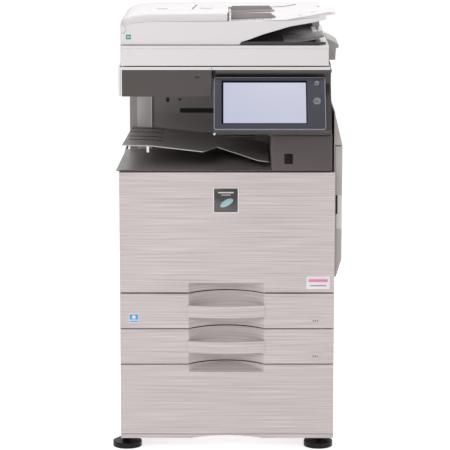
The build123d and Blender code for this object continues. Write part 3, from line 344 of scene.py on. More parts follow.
LOOKS = {
    "body_light": plastic("Grey front moulding", (0.500, 0.446, 0.440), 0.48, lines=1.15, grain=1.2),
    "feeder_light": plastic("White moulding", (0.640, 0.610, 0.620), 0.38, grain=0.8),
    "side_light": plastic("Grey side moulding", (0.425, 0.380, 0.372), 0.5, grain=1.4, depth=0.03),
    "painted_sheet": plastic("Painted sheet", (0.435, 0.388, 0.380), 0.42, grain=0.5, mottle=0.02,
                             depth=0.008),
    "dark_gloss": plastic("Dark brown gloss", (0.051, 0.039, 0.037), 0.24, coat=0.35, grain=0.6, depth=0.006),
    "tray_satin": plastic("Brown tray", (0.235, 0.205, 0.208), 0.46, grain=0.7, dust=0.03),
    "panel_bezel": plastic("Slate gloss", (0.050, 0.051, 0.068), 0.22, coat=0.15, grain=0.5, depth=0.004,
                           dust=0.02, ior=1.4),
    # A pale colour for the bead round the operation panel: a painted highlight on its rounded edge.
    "rim": clean("Painted rim highlight", (0.42, 0.41, 0.44), 0.28, coat=0.3),
    "keys": clean("Key cap", (0.15, 0.15, 0.18), 0.25, coat=0.4),
    "feet": clean("Black foot", (0.006, 0.005, 0.006), 0.40, ior=1.3),
    "steel": metal("Zinc-coated sheet", (0.60, 0.61, 0.62), 0.38),
    "caster_steel": metal("Zinc-plated fork", (0.50, 0.51, 0.52), 0.32),
    "caster_tyre": plastic("Tread", (0.02, 0.02, 0.02), 0.7, grain=2.0, depth=0.06, dust=0.2),
    "bin_dark": plastic("Dark grey tub", (0.035, 0.035, 0.038), 0.5, grain=1.5, depth=0.05),
    "lift_steel": metal("Bare sheet", (0.64, 0.65, 0.66), 0.3),
    "guide_blue": plastic("Blue adjuster", (0.08, 0.17, 0.36), 0.42, grain=1.0),
    "latch": plastic("Light latch", (0.58, 0.56, 0.55), 0.4),
    "body_tray": plastic("Grey tray", (0.46, 0.41, 0.40), 0.45, grain=1.2),
    "drum_coat": clean("Drum coating", (0.015, 0.11, 0.12), 0.08, coat=1.0, grain=0.5, depth=0.002),
    "roller": plastic("Roller rubber", (0.03, 0.03, 0.03), 0.65, grain=0.8, depth=0.03),
    "carriage": plastic("Black carriage", (0.015, 0.015, 0.016), 0.6),
    "guide_grey": plastic("Grey-beige guide", (0.36, 0.33, 0.32), 0.4, grain=0.8),
    "platen": clear_glass("Platen glass", (0.86, 0.93, 0.91)),
    "screen": lit_screen("Lit display"),
    "badge": clean("Badge face", (0.05, 0.045, 0.045), 0.2, coat=0.6),
    "label_blue": clean("Blue label", (0.05, 0.30, 0.62), 0.4),
    "label_green": clean("Green label", (0.01, 0.28, 0.12), 0.4),
    "label_white": clean("White label", (0.70, 0.66, 0.70), 0.45),
    # Black gap: painted shade, black plates standing for the shade inside slots, seams, louvres and between
    # ribs.
    "gap_shade": clean("Painted gap shade", (0.006, 0.006, 0.006), 0.6),
    "mark_grey": clean("Printed grey", (0.22, 0.21, 0.22), 0.5),
    "mark_pale": clean("Moulded mark", (0.36, 0.35, 0.37), 0.45),
    "label_rose": clean("Rose print", (0.66, 0.20, 0.34), 0.45),
    "bright_trim": clean("Bright trim", (0.72, 0.70, 0.70), 0.25, coat=0.3),
    "badge_lens": clean("Teal lens", (0.25, 0.42, 0.45), 0.15, coat=0.8),
    "badge_mark": clean("Badge print", (0.55, 0.54, 0.55), 0.3),
    "window_rim": clean("Window rim", (0.52, 0.47, 0.46), 0.4),
    # Blue-black: a painted shadow for the band round the screen, wider at its left and top.
    "screen_shadow_look": clean("Painted screen shadow", (0.005, 0.005, 0.014), 0.6, ior=1.1),
    "key_mark": clean("Pale key mark", (0.45, 0.45, 0.48), 0.3),
    "cavity_dark": plastic("Dark satin", (0.275, 0.242, 0.240), 0.35, coat=0.2, grain=0.8),
    "cavity_mid": plastic("Brown satin", (0.28, 0.25, 0.25), 0.4, grain=0.8),
    # Pale post: the back wall's moulding made much paler, as painted light on the post's lit face.
    "lit_cavity_post": plastic("Post with painted light", (0.52, 0.47, 0.47), 0.35, coat=0.2, grain=0.8),
    "port_window": clean("Port window", (0.014, 0.008, 0.009), 0.45, ior=1.2),
    # Pale edge: a painted highlight along the upper shelf's front edge.
    "shelf_edge_highlight": clean("Painted edge highlight", (0.50, 0.48, 0.47), 0.3),
    # Exit floor: near-black painted shade for the plates inside the feeder's exit.
    "exit_shade": clean("Painted exit shade", (0.030, 0.027, 0.026), 0.5),
    "exit_grey": clean("Exit grey", (0.24, 0.225, 0.225), 0.42),
    "screw": metal("Plated screw", (0.62, 0.62, 0.63), 0.3),
}

# ---- making pieces


def finish_piece(name, mesh, body, look, smooth_angle=35.0):
    """Puts a mesh into the scene as a piece that rides on a body, with its finish and smooth shading."""
    piece = bpy.data.objects.new(name, mesh)
    bpy.context.scene.collection.objects.link(piece)
    mesh.materials.clear()
    mesh.materials.append(LOOKS[look])
    mesh.polygons.foreach_set("use_smooth", np.ones(len(mesh.polygons), dtype=bool))
    mesh.set_sharp_from_angle(angle=math.radians(smooth_angle))
    mesh.update()
    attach(piece, body)
    return piece


def softened(node, width, segments=2, look=None, name=None):
    """A CAD node's shape with its doubles merged, its flat faces joined and its edges rounded by width."""
    source = frame["nodes"][node]
    mesh = source.data.copy()
    if "custom_normal" in mesh.attributes:
        mesh.attributes.remove(mesh.attributes["custom_normal"])
    work = bmesh.new()
    work.from_mesh(mesh)
    bmesh.ops.remove_doubles(work, verts=work.verts, dist=0.00001)
    bmesh.ops.dissolve_limit(work, angle_limit=math.radians(2.0), verts=work.verts, edges=work.edges)
    work.to_mesh(mesh)
    work.free()
    body = source["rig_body"]
    piece = finish_piece(name or f"{node}_skin", mesh, body, look or SLOT_OF[node])
    rounding = piece.modifiers.new("rounded edges", "BEVEL")
    rounding.width = width
    rounding.segments = segments
    rounding.limit_method = "ANGLE"
    rounding.angle_limit = math.radians(30)
    rounding.harden_normals = False
    rounding.use_clamp_overlap = True
    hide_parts(node)
    return piece


SLOT_OF = {entry["node"]: entry["material_slot"] for entry in frame["record"]["subparts"]}
OTHER_LOOK = {
    "left_cover": "side_light", "rear_cover": "side_light", "right_cover": "side_light",
    "right_door": "side_light",
    "output_tray": "tray_satin", "upper_tray": "tray_satin", "exit_stopper": "guide_grey",
    "stand_frame": "painted_sheet",
}
for node, obj in frame["nodes"].items():
    look = OTHER_LOOK.get(node, SLOT_OF[node])
    obj.data.materials.clear()
    obj.data.materials.append(LOOKS[look])

# Moulded and folded pieces, listed by the width in millimetres of the rounding on their edges.
ROUNDING = {
    1.6: "front_cover",
    1.4: "stand_front_panel feed_cover",
    1.2: "drawer_1_front drawer_2_front base_trim bypass_tray scanner_top adf_base document_tray",
    1.1: "left_upper_cover panel_housing lower_right_panel scanner_housing",
    1.0: "right_door door_latch output_tray exit_stopper document_guide_front document_guide_rear "
         "toner_cartridge foot_left foot_right",
    0.8: "left_cover rear_cover right_cover upper_frame upper_tray panel_body power_inlet drawer_1_bin "
         "drawer_2_bin lamp_carriage mirror_carriage",
    0.6: "drum_unit drawer_1_guide_front drawer_1_guide_rear drawer_2_guide_front drawer_2_guide_rear "
         "drawer_1_end_guide drawer_2_end_guide",
    0.4: "stand_frame main_frame",
}
for width, nodes in ROUNDING.items():
    for node in nodes.split():
        softened(node, width * MM, look=OTHER_LOOK.get(node))

# ---- surfaces

AXES = {
    "front": ((1, 0, 0), (0, 0, 1), (0, -1, 0)),
    "back": ((-1, 0, 0), (0, 0, 1), (0, 1, 0)),
    "top": ((1, 0, 0), (0, 1, 0), (0, 0, 1)),
    "under": ((1, 0, 0), (0, -1, 0), (0, 0, -1)),
    "left": ((0, -1, 0), (0, 0, 1), (-1, 0, 0)),
    "right": ((0, 1, 0), (0, 0, 1), (1, 0, 0)),
}


def mesh_from(name, points, faces):
    """A mesh from an array of points and a list of faces."""
    mesh = bpy.data.meshes.new(name)
    mesh.from_pydata(np.asarray(points, dtype=float).tolist(), [], [list(map(int, face)) for face in faces])
    mesh.update()
    return mesh


def ring_faces(rings, count, closed=True):
    """Quads between neighbouring rings of count points each."""
    index = np.arange(rings * count).reshape(rings, count)
    after = np.roll(index, -1, axis=1)
    quads = np.stack([index[:-1], after[:-1], after[1:], index[1:]], axis=-1)
    if not closed:
        quads = quads[:, :-1]
    return quads.reshape(-1, 4).tolist()


def rounded_outline(half_u, half_v, corner, steps=6):
    """Points round a rectangle with round corners: each corner's centre plus its radius times an arc."""
    turn = (np.arange(4)[:, None] * 90 + np.linspace(0, 90, steps)[None, :]) * math.pi / 180
    sign = np.array([[1, 1], [-1, 1], [-1, -1], [1, -1]], dtype=float)
    centre = sign[:, None, :] * np.array([half_u - corner, half_v - corner])
    arc = np.stack([np.cos(turn), np.sin(turn)], axis=-1) * corner
    return (centre + arc).reshape(-1, 2)


def plate(name, body, look, facing, centre, size, corner, profile, turn=0.0, frame_axes=None,
          smooth=35.0):
    """A plate with round corners: its outline is inset and raised by the profile's steps, then closed.

    facing names the way it looks, centre is a point on its back plane, size is width and height in mm,
    and the profile is a list of (inset, height) in mm; turn rolls it in its own plane by degrees.
    """
    u, v, w = [np.array(axis, dtype=float) for axis in (frame_axes or AXES[facing])]
    roll = math.radians(turn)
    u, v = u * math.cos(roll) + v * math.sin(roll), v * math.cos(roll) - u * math.sin(roll)
    rings = []
    for inset, height in profile:
        half_u, half_v = size[0] / 2 - inset, size[1] / 2 - inset
        radius = min(max(corner - inset, 0.05), half_u * 0.999, half_v * 0.999)
        ring = rounded_outline(half_u, half_v, radius)
        rings.append(np.array(centre) + MM * (ring[:, :1] * u + ring[:, 1:] * v + height * w))
    count = len(rings[0])
    faces = ring_faces(len(rings), count)
    last = (len(rings) - 1) * count
    faces.append(list(range(last, last + count)))
    faces.append(list(range(count))[::-1])
    return finish_piece(name, mesh_from(name, np.concatenate(rings), faces), body, look, smooth)


def dish(name, body, look, centre, axes, profile, turns=40, smooth=50.0):
    """A turned shape: the profile's (radius, height) pairs in mm are swept round the axis w, then closed."""
    u, v, w = [np.array(axis, dtype=float) for axis in axes]
    angle = np.linspace(0, 2 * math.pi, turns, endpoint=False)
    round_uv = np.cos(angle)[:, None] * u + np.sin(angle)[:, None] * v
    rings = [np.array(centre) + MM * (max(r, 0.02) * round_uv + h * w) for r, h in profile]
    faces = ring_faces(len(rings), turns)
    last = (len(rings) - 1) * turns
    faces.append(list(range(last, last + turns)))
    faces.append(list(range(turns))[::-1])
    return finish_piece(name, mesh_from(name, np.concatenate(rings), faces), body, look, smooth)


def bead(name, body, look, path, radius, closed=False, up=(0, 0, 1), flat=1.0, sides=10):
    """A bead along a path in metres: a circle of the radius in mm, squeezed by flat, at each point."""
    path = np.array(path, dtype=float)
    if closed:
        along = np.roll(path, -1, axis=0) - np.roll(path, 1, axis=0)
    else:
        along = np.gradient(path, axis=0)
    along /= np.linalg.norm(along, axis=1)[:, None]
    side = np.cross(along, np.array(up, dtype=float))
    side /= np.linalg.norm(side, axis=1)[:, None]
    over = np.cross(along, side)
    angle = np.linspace(0, 2 * math.pi, sides, endpoint=False)
    ring = np.cos(angle)[None, :, None] * side[:, None, :] + flat * np.sin(angle)[None, :, None] * over[:,
                                                                                                        None,
                                                                                                        :]
    points = (path[:, None, :] + radius * MM * ring).reshape(-1, 3)
    count = len(path)
    faces = ring_faces(count, sides)
    if closed:
        first, last = np.arange(sides), (count - 1) * sides + np.arange(sides)
        faces += np.stack([last, np.roll(last, -1), np.roll(first, -1), first], axis=-1).tolist()
    else:
        faces.append(list(range(sides))[::-1])
        faces.append(list(range((count - 1) * sides, count * sides)))
    return finish_piece(name, mesh_from(name, points, faces), body, look, 80.0)


def skin(name, body, look, grid, thick=1.0, bevel=0.0):
    """A sheet over a grid of points, rows by columns, thickened by Solidify and softened by Bevel."""
    rows, columns = grid.shape[:2]
    index = np.arange(rows * columns).reshape(rows, columns)
    faces = np.stack([index[:-1, :-1], index[:-1, 1:], index[1:, 1:], index[1:, :-1]], axis=-1).reshape(-1, 4)
    piece = finish_piece(name, mesh_from(name, grid.reshape(-1, 3), faces), body, look, 35.0)
    wall = piece.modifiers.new("thickness", "SOLIDIFY")
    wall.thickness = thick * MM
    wall.offset = -1.0
    if bevel:
        soft = piece.modifiers.new("soft edges", "BEVEL")
        soft.width = bevel * MM
        soft.segments = 2
    return piece


def smooth_path(points, per_run=8):
    """A Catmull-Rom curve through points: each run is the cubic that shares its neighbours' slopes."""
    p = np.array(points, dtype=float)
    p = np.vstack([2 * p[0] - p[1], p, 2 * p[-1] - p[-2]])
    t = np.linspace(0, 1, per_run, endpoint=False)[:, None]
    runs = [
        0.5 * (2 * b + (c - a) * t + (2 * a - 5 * b + 4 * c - d) * t**2 + (3 * b - a - 3 * c + d) * t**3)
        for a, b, c, d in zip(p[:-3], p[1:-2], p[2:-1], p[3:])
    ]
    return np.vstack(runs + [p[-2:-1]])


# ---- places

body_low, body_high = edges_of("front_cover")
left, front, z_cover = body_low
right = body_high[0]
mid_x = (left + right) / 2
# Profiles of thin flat pieces, as (inset, height) steps in mm: a sticker, and print on it.
STICKER = [(0, 0), (0, 0.15), (0.1, 0.2)]
PRINT = [(0, 0), (0, 0.1), (0.1, 0.15)]
MOULDED_MARK = [(0, -0.2), (0, 0.1), (0.1, 0.15)]


def at(dx, dy, z):
    """A point placed from the body's left side and front, in mm, with its height."""
    return (left + dx * MM, front + dy * MM, z)


# ---- front fittings

badge = at(287, 0.2, z_cover + 0.254)
plate("badge_frame", "front_cover", "bright_trim", "front", badge, (69, 70), 3.0,
      [(0, -1), (0, 0.8), (0.8, 1.6), (2.0, 1.6), (2.8, 0.6)])
plate("badge_face", "front_cover", "badge", "front", badge, (63.5, 64.5), 1.5, [(0, 0), (0, 1.0), (0.6, 1.3)])
dish("badge_lens", "front_cover", "badge_lens", (badge[0] + 0.002, badge[1] - 0.0012, badge[2] - 0.007),
     ((0.86, 0, 0.50), (-0.22, 0, 0.36), (0, -1, 0)),
     [(20, -0.2), (19.4, 0.5), (16, 1.1), (9, 1.5), (3, 1.6), (0, 1.6)])
plate("badge_bar", "front_cover", "badge_mark", "front", (badge[0], badge[1] - 0.0012, badge[2] + 0.021),
      (42, 3.4), 1.6,
      [(0, -0.2), (0, 0.25), (0.3, 0.4)])
plate("badge_bar_small", "front_cover", "badge_mark", "front",
      (badge[0], badge[1] - 0.0012, badge[2] + 0.0145), (26, 1.8), 0.8, [(0, -0.2), (0, 0.2), (0.2, 0.3)])

sticker = at(536, 0.1, z_cover + 0.028)
plate("plain_sticker", "front_cover", "label_white", "front", sticker, (63, 35), 1.5, STICKER)
plate("plain_sticker_bar", "front_cover", "label_rose", "front",
      (sticker[0], sticker[1] - 0.0002, sticker[2] + 0.0055),
      (52, 8), 1.0, PRINT)
plate("plain_sticker_line", "front_cover", "mark_grey", "front",
      (sticker[0], sticker[1] - 0.0002, sticker[2] - 0.0085),
      (44, 3), 0.8, PRINT)

drawer_low = edges_of("drawer_1_front")[0]
energy = at(37.5, 0.1, drawer_low[2] + 0.028)
plate("blue_label", "drawer_1", "label_white", "front", energy, (25, 24), 0.8, STICKER)
plate("blue_label_top", "drawer_1", "label_blue", "front", (energy[0], energy[1] - 0.0002,
                                                            energy[2] + 0.0032),
      (22.6, 14.5), 0.5, [(0, 0), (0, 0.1), (0.1, 0.14)])
plate("blue_label_foot", "drawer_1", "label_blue", "front", (energy[0], energy[1] - 0.0002,
                                                             energy[2] - 0.0085),
      (22.6, 3.6), 0.5, [(0, 0), (0, 0.1), (0.1, 0.14)])
dish("blue_label_sun", "drawer_1", "label_white", (energy[0], energy[1] - 0.00033, energy[2] + 0.0032),
     AXES["front"],
     [(5.0, 0), (5.0, 0.05), (0, 0.06)])

for count, body in ((1, "drawer_1"), (2, "drawer_2")):
    low, high = edges_of(f"{body}_front")
    place = at(528, 0.3, low[2] + 0.0205)
    plate(f"size_window_{count}", body, "window_rim", "front", place, (37, 24), 2.5,
          [(0, -0.4), (0, 0.5), (0.6, 0.9), (1.4, 0.9), (2.2, -0.1)])
    plate(f"size_card_{count}", body, "label_white", "front", (place[0] + 0.002, place[1] - 0.0001, place[2]),
          (24, 13),
          1.0, MOULDED_MARK)
    for mark, (dx, width) in enumerate(((-6.5, 3.4), (-0.5, 4.6), (6.0, 3.4))):
        plate(f"size_mark_{count}_{mark}", body, "mark_grey", "front",
              (place[0] + (2 + dx) * MM, place[1] - 0.00025, place[2]), (width, 5.2), 0.8,
              [(0, -0.1), (0, 0.05), (0.1, 0.08)])

# ---- operation panel

screen_low, screen_high = edges_of("panel_screen")
TILT = math.radians(36.0)
PANEL_AXES = ((1, 0, 0), (0, math.sin(TILT), math.cos(TILT)), (0, -math.cos(TILT), math.sin(TILT)))
panel_low, panel_high = edges_of("panel_body")
slope = np.array(PANEL_AXES[1])
outward = np.array(PANEL_AXES[2])
PANEL_THICK = 0.018
panel_len = ((panel_high[2] - panel_low[2]) - PANEL_THICK * math.sin(TILT)) / math.cos(TILT)
FACE_FOOT = np.array([0.0, panel_low[1], panel_low[2] + PANEL_THICK * math.sin(TILT)])


def on_face(x, along, out=0.0):
    """A point on the operation panel: x in metres, then mm up its face and mm out of it."""
    return tuple(np.array([x, 0, 0]) + FACE_FOOT + slope * along * MM + outward * out * MM)


panel_x = (panel_low[0], panel_high[0])
panel_mid = (panel_x[0] + panel_x[1]) / 2
# A pale bead round the panel's face: a painted highlight where its rounded edge catches the light.
rim = rounded_outline((panel_x[1] - panel_x[0]) / 2 * 1000 - 0.9, panel_len * 500 - 0.9, 5.0, 7)
bead("panel_rim_highlight", "operation_panel", "rim", [on_face(panel_mid + u * MM, panel_len * 500 + v, -0.4) for u,
                                             v in rim], 0.85,
     closed=True, up=PANEL_AXES[2])
screen_mid = (screen_low[0] + screen_high[0]) / 2
screen_w = (screen_high[0] - screen_low[0]) * 1000
key_x = panel_x[1] - 0.023
shadow_band_run = (19.0, panel_len * 1000 - 12.0)


def frame_ring(name, body, look, centre, outer, inner, shift, depth):
    """A frame in the panel's face: the outer and inner rectangles joined, the inner one shifted and sunk."""
    rings = []
    for (half_u, half_v, radius, height, move) in (
        (outer[0] / 2, outer[1] / 2, 2.0, depth[0], (0, 0)),
        (outer[0] / 2 - 0.3, outer[1] / 2 - 0.3, 1.8, depth[1], (0, 0)),
        (inner[0] / 2 + 0.6, inner[1] / 2 + 0.6, 1.4, depth[1], shift),
        (inner[0] / 2, inner[1] / 2, 1.0, depth[2], shift),
    ):
        ring = rounded_outline(half_u, half_v, radius)
        rings.append([on_face(centre[0] + (u + move[0]) * MM, centre[1] + v + move[1], height) for u,
                      v in ring])
    count = len(rings[0])
    faces = ring_faces(4, count)
    return finish_piece(name, mesh_from(name, np.concatenate(rings), faces), body, look, 35.0)


# A blue-black band round the screen, its opening shifted so it is wider at the left and top: a painted shadow
# of the bezel's recess on the screen.
shadow_band_mid = (shadow_band_run[0] + shadow_band_run[1]) / 2
frame_ring("screen_shadow_band", "operation_panel", "screen_shadow_look", (screen_mid, shadow_band_mid),
           (screen_w + 5.0, shadow_band_run[1] - shadow_band_run[0] + 5.0),
           (screen_w - 4.0, shadow_band_run[1] - shadow_band_run[0] - 4.0), (1.2, -1.2), (-1.0, 0.3, -1.8))
for name, along, radius in (("power_key", panel_len * 1000 * 0.8885, 8.5),
                            ("home_key", panel_len * 1000 * 0.545, 12.0)):
    dish(f"{name}_cap", name, "keys", on_face(key_x, along, -5.0), PANEL_AXES,
         [(radius, 0), (radius, 4.2), (radius - 0.6, 4.7), (radius - 1.3, 4.5), (radius - 2.4, 3.1),
          (radius - 4.2, 2.2),
          (radius * 0.4, 1.8), (0, 1.7)])
    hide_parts(name)
    bead(f"{name}_ring", name, "key_mark",
         [on_face(key_x + radius * 0.62 * MM * math.cos(turn), along + radius * 0.62 * math.sin(turn), -2.2)
          for turn in np.linspace(0, 2 * math.pi, 28, endpoint=False)],
         0.55, closed=True, up=PANEL_AXES[2], sides=6)

# ---- output space

frame_low, frame_high = edges_of("upper_frame")
housing_low = edges_of("panel_housing")[0]
block_low, block_high = edges_of("lower_right_panel")
z_tray = block_low[2]
z_rail = frame_high[2] - 0.008
y_wall = front + 0.387


def wall_plate(name, x0, x1, z0, z1, look, y=y_wall, lift=1.2, corner=1.5):
    """A moulded panel on the back wall, between two places from the left side and two heights, in mm."""
    centre = at((x0 + x1) / 2, (y - front) * 1000, z_tray + (z0 + z1) / 2 * MM)
    return plate(name, "machine", look, "front", centre, (x1 - x0, z1 - z0), corner,
                 [(0, 0), (0, lift * 0.5), (lift * 0.5, lift)])


block_left = (block_low[0] - left) * 1000
rise = (z_rail - z_tray) * 1000
wall_plate("cavity_back", 79, block_left - 1, 3, rise - 1, "cavity_dark")
# The post is much paler than the wall beside it: painted light on its face, lit from the left.
wall_plate("lit_cavity_post", 37.5, 77.5, 3.5, rise - 1, "lit_cavity_post", y=y_wall - 0.006)
wall_plate("cavity_column", 16, 36.5, 3, rise - 1, "cavity_mid")
# A bright bead down the post's right edge: a painted highlight.
bead("post_edge_highlight", "machine", "bright_trim",
     [at(77.5, 379.5, z_tray + 0.004), at(77.5, 379.5, z_rail - 0.002)], 1.6, up=(0, 1, 0))
# The slot, notches and grille are black plates on the wall: painted shade inside the openings.
wall_plate("cavity_slot", 157, block_left - 20, 106, 119, "gap_shade", y=y_wall - 0.0012, lift=0.6, corner=4)
wall_plate("cavity_slot_lip", 150, block_left - 30, 103, 106.5, "cavity_mid", y=y_wall - 0.0012, lift=1.6)
for count, (x, z, w, h) in enumerate(((118, 137, 9, 13), (153, 141, 8, 5))):
    wall_plate(f"cavity_notch_{count}", x, x + w, z, z + h, "gap_shade", y=y_wall - 0.0012, lift=0.6)
for count in range(6):
    z = 12 + count * 7
    wall_plate(f"cavity_grille_{count}", 95, block_left - 40, z, z + 2.2, "gap_shade", y=y_wall - 0.0012,
               lift=0.4)
plate("cavity_block_side", "machine", "cavity_dark", "left",
      (block_low[0] - 0.0002, (front + 0.03 + y_wall) / 2, z_tray + 0.050),
      ((y_wall - front - 0.034) * 1000, 96), 2.0, [(0, 0), (0, 0.3), (0.3, 0.6)])

# block under the operation panel: chamfered face, window
face_mid = ((block_low[0] + block_high[0]) / 2, block_low[1] + 0.0018, (block_low[2] + block_high[2]) / 2)
plate("block_face", "machine", "dark_gloss", "front", face_mid,
      ((block_high[0] - block_low[0]) * 1000 - 0.4, (block_high[2] - block_low[2]) * 1000 - 0.4), 4.0,
      [(0, -1.0), (0, 0.2), (0.8, 1.2), (5.0, 3.2), (6.0, 3.3)])
plate("block_window", "machine", "port_window", "front",
      (block_low[0] + 0.046, block_low[1] - 0.0016, z_tray + 0.034), (23, 28), 1.5,
      [(0, -1.6), (0, 0.3), (0.3, 0.5)])

# upper shelf: painted highlight along its front edge, ribs, tab
shelf_low = edges_of("upper_tray")[0]


def shelf_height(x):
    """Height of the upper shelf's surface: straight runs between its bends."""
    bends = np.array([8, 88, 225, block_left - 6]) * MM + left
    return np.interp(x, bends, z_tray + np.array([68, 66, 50, 22]) * MM)


shelf_front = shelf_low[1]
# A pale bead along the shelf's front edge: a painted highlight where the edge catches the light.
edge = [(9, 0), (88, 0), (160, 0), (216, 0), (226, 3), (238, 42), (251, 86), (261, 119), (264.5, 122.5),
        (269, 117),
        (300, 82), (335, 42), (368, 4), (378, 0), (block_left - 14, 0)]
edge = smooth_path([(left + x * MM, shelf_front + y * MM, 0) for x, y in edge], 6)
edge[:, 2] = shelf_height(edge[:, 0]) - 0.0012
bead("shelf_edge_highlight", "machine", "shelf_edge_highlight", edge + np.array([0, 0.0002, 0]), 1.35, flat=1.0)
# The ribs are thin black beads: painted shade along the rib lines.
for count, y in enumerate((-142, -82, 2, 72)):
    run = np.linspace(left + 0.022, left + 0.115, 8)
    depth = np.full(8, front + (275 + y) * MM)
    bead(f"shelf_rib_{count}", "machine", "gap_shade",
         np.stack([run, depth, shelf_height(run) + 0.0004], axis=-1), 1.5, flat=0.5)
plate("shelf_tab", "machine", "bright_trim", "front", (left + 0.077, shelf_front + 0.0004, z_tray + 0.056),
      (7, 17), 1.0,
      [(0, -3), (0, 0.2), (0.4, 0.6)])
tray_low, tray_high = edges_of("output_tray")
bead("tray_lip", "machine", "dark_gloss",
     [(left + x * MM, front + 4.4 * MM, tray_high[2] - 0.0004) for x in np.linspace(1, block_left - 3, 12)],
     1.6)
plate("housing_tab", "machine", "bright_trim", "front",
      (housing_low[0] + 0.001, housing_low[1] + 0.012, housing_low[2] + 0.004), (15, 6), 1.6,
      [(0, -1), (0, 0.6), (0.4, 1.0)], turn=35)

# light end of the rail beside the dark cover, and the split in the rail, a black line of painted shade
upper_low = edges_of("left_upper_cover")[0]
bead("rail_end", "machine", "feeder_light",
     [at(3.8, 13.5, upper_low[2] + 0.002), at(3.8, 13.5, z_rail + 0.001)], 3.4, up=(0, 1, 0))
plate("rail_split", "machine", "gap_shade", "front", at(249, 10.1, z_rail + 0.004), (0.9, 7.4), 0.2,
      [(0, -1), (0, 0.12)])
plate("cover_sensor", "machine", "gap_shade", "front", at(210, 13.1, upper_low[2] + 0.052), (12, 5), 2.2,
      [(0, -0.5), (0, 0.2), (0.2, 0.3)])

# ---- document feeder

base_low, base_high = edges_of("adf_base")
cover_high = edges_of("feed_cover")[1]
tray_low, tray_high = edges_of("document_tray")
z_feed = base_low[2]
split = cover_high[0]


def document_height(x):
    """Height of the document tray's surface: a gentle run to its knee, then a steeper one to its tip."""
    return np.interp(x, [split, split + 0.156, split + 0.287],
                     [z_feed + 0.058, z_feed + 0.064, z_feed + 0.086])


def cover_height(y):
    """Height of the feed cover's skin behind its front slope."""
    return np.interp(y, [front + 0.048, front + 0.075, front + 0.570],
                     [z_feed + 0.078, z_feed + 0.080, z_feed + 0.064])


plate("feeder_mark", "document_feeder", "label_green", "front",
      (left + 0.0275, base_low[1] + 0.0001, z_feed + 0.0205),
      (13, 13), 1.5, [(0, -0.2), (0, 0.12), (0.1, 0.18)])
plate("feeder_mark_dot", "document_feeder", "label_white", "front",
      (left + 0.0275, base_low[1] - 0.0001, z_feed + 0.0205), (7, 3), 0.8,
      [(0, -0.1), (0, 0.04), (0.05, 0.06)])


def dark_panel(name, corners, thick=0.5, look="exit_shade"):
    """A thin plate over four corners in metres: the four points, and the same moved along their normal; by
    default near-black as painted shade.
    """
    flat = np.array(corners, dtype=float)
    normal = np.cross(flat[1] - flat[0], flat[3] - flat[0])
    normal /= np.linalg.norm(normal)
    points = np.vstack([flat - normal * 0.0001, flat + normal * thick * MM])
    faces = [(3, 2, 1, 0), (4, 5, 6, 7)] + [(k, (k + 1) % 4, (k + 1) % 4 + 4, k + 4) for k in range(4)]
    return finish_piece(name, mesh_from(name, points, faces), "document_feeder", look, 30.0)


# The exit's sill, floor and back are near-black plates: painted shade inside the exit under the document
# tray.
exit_floor = z_feed + 0.007
exit_low, exit_top = z_feed + 0.0035, z_feed + 0.0625
exit_x = (split - 0.018, split + 0.236)
exit_y = (base_low[1] + 0.0035, front + 0.4165)
wall_x = (split + 0.021, split + 0.2395)
corner_x = (split + 0.2405, split + 0.2601)
corner_y = (exit_y[1] + 0.0005, exit_y[1] + 0.030)
sill_y = base_low[1] - 0.0001
dark_panel("exit_sill", [(split + 0.032, sill_y, z_feed), (base_high[0], sill_y, z_feed),
                         (base_high[0], sill_y, exit_floor + 0.0002),
                         (split + 0.037, sill_y, exit_floor + 0.0002)],
           thick=0.3)
dark_panel("exit_floor", [(exit_x[0], exit_y[0], exit_floor), (exit_x[1], exit_y[0], exit_floor),
                          (exit_x[1], exit_y[1], exit_floor), (exit_x[0], exit_y[1], exit_floor)])
dark_panel("exit_back", [(wall_x[0], exit_y[1], exit_floor + 0.001),
                         (wall_x[1], exit_y[1], exit_floor + 0.001),
                         (wall_x[1], exit_y[1], exit_top), (wall_x[0], exit_y[1], exit_top)])
dark_panel("exit_corner", [(corner_x[0], corner_y[0], exit_low), (corner_x[1], corner_y[1], exit_low),
                           (corner_x[1], corner_y[1], exit_top), (corner_x[0], corner_y[0], exit_top)],
           look="exit_grey")
ramp_x = np.linspace(0, 1, 14)
ramp_path = np.stack([split + 0.150 + 0.108 * ramp_x, exit_floor + 0.0006 + 0.0135 * ramp_x**2.2], axis=-1)
ramp = np.array([[(x, y, z) for x, z in ramp_path] for y in np.linspace(base_low[1] + 0.002,
                                                                        base_low[1] + 0.17, 3)])
skin("exit_ramp", "document_feeder", "exit_grey", ramp, 1.2, bevel=0.3)

turn = np.linspace(0, 2 * math.pi, 48, endpoint=False)
pivot_ring = np.stack([np.maximum(9.3 * np.cos(turn), -5.9), 9.3 * np.sin(turn)], axis=-1)
pivot_at = np.array([base_low[0] + 0.006, base_low[1], z_feed + 0.040])
pivot_points = np.vstack(
    [pivot_at + MM * np.stack([k * pivot_ring[:, 0], np.full(48, depth), k * pivot_ring[:, 1]], axis=-1)
     for k, depth in ((1.0, 2.6), (1.0, 0.7), (0.94, 0.1))]
)
pivot_faces = ring_faces(3, 48) + [list(range(96, 144)), list(range(48))[::-1]]
finish_piece("pivot_cap", mesh_from("pivot_cap", pivot_points, pivot_faces), "feed_cover", "feeder_light",
             40.0)


def on_cover(x, y):
    """A point on the feed cover's skin, from the left side and the front in mm."""
    return (left + x * MM, front + y * MM, float(cover_height(front + y * MM)))


SLOPE = math.atan2(0.016, 0.495)
COVER_AXES = ((1, 0, 0), (0, math.cos(SLOPE), -math.sin(SLOPE)), (0, math.sin(SLOPE), math.cos(SLOPE)))
plate("cover_dash", "feed_cover", "mark_pale", "top", on_cover(112, 250), (30, 8), 3.5,
      [(0, -0.3), (0, 0.1), (0.1, 0.15)],
      frame_axes=COVER_AXES)
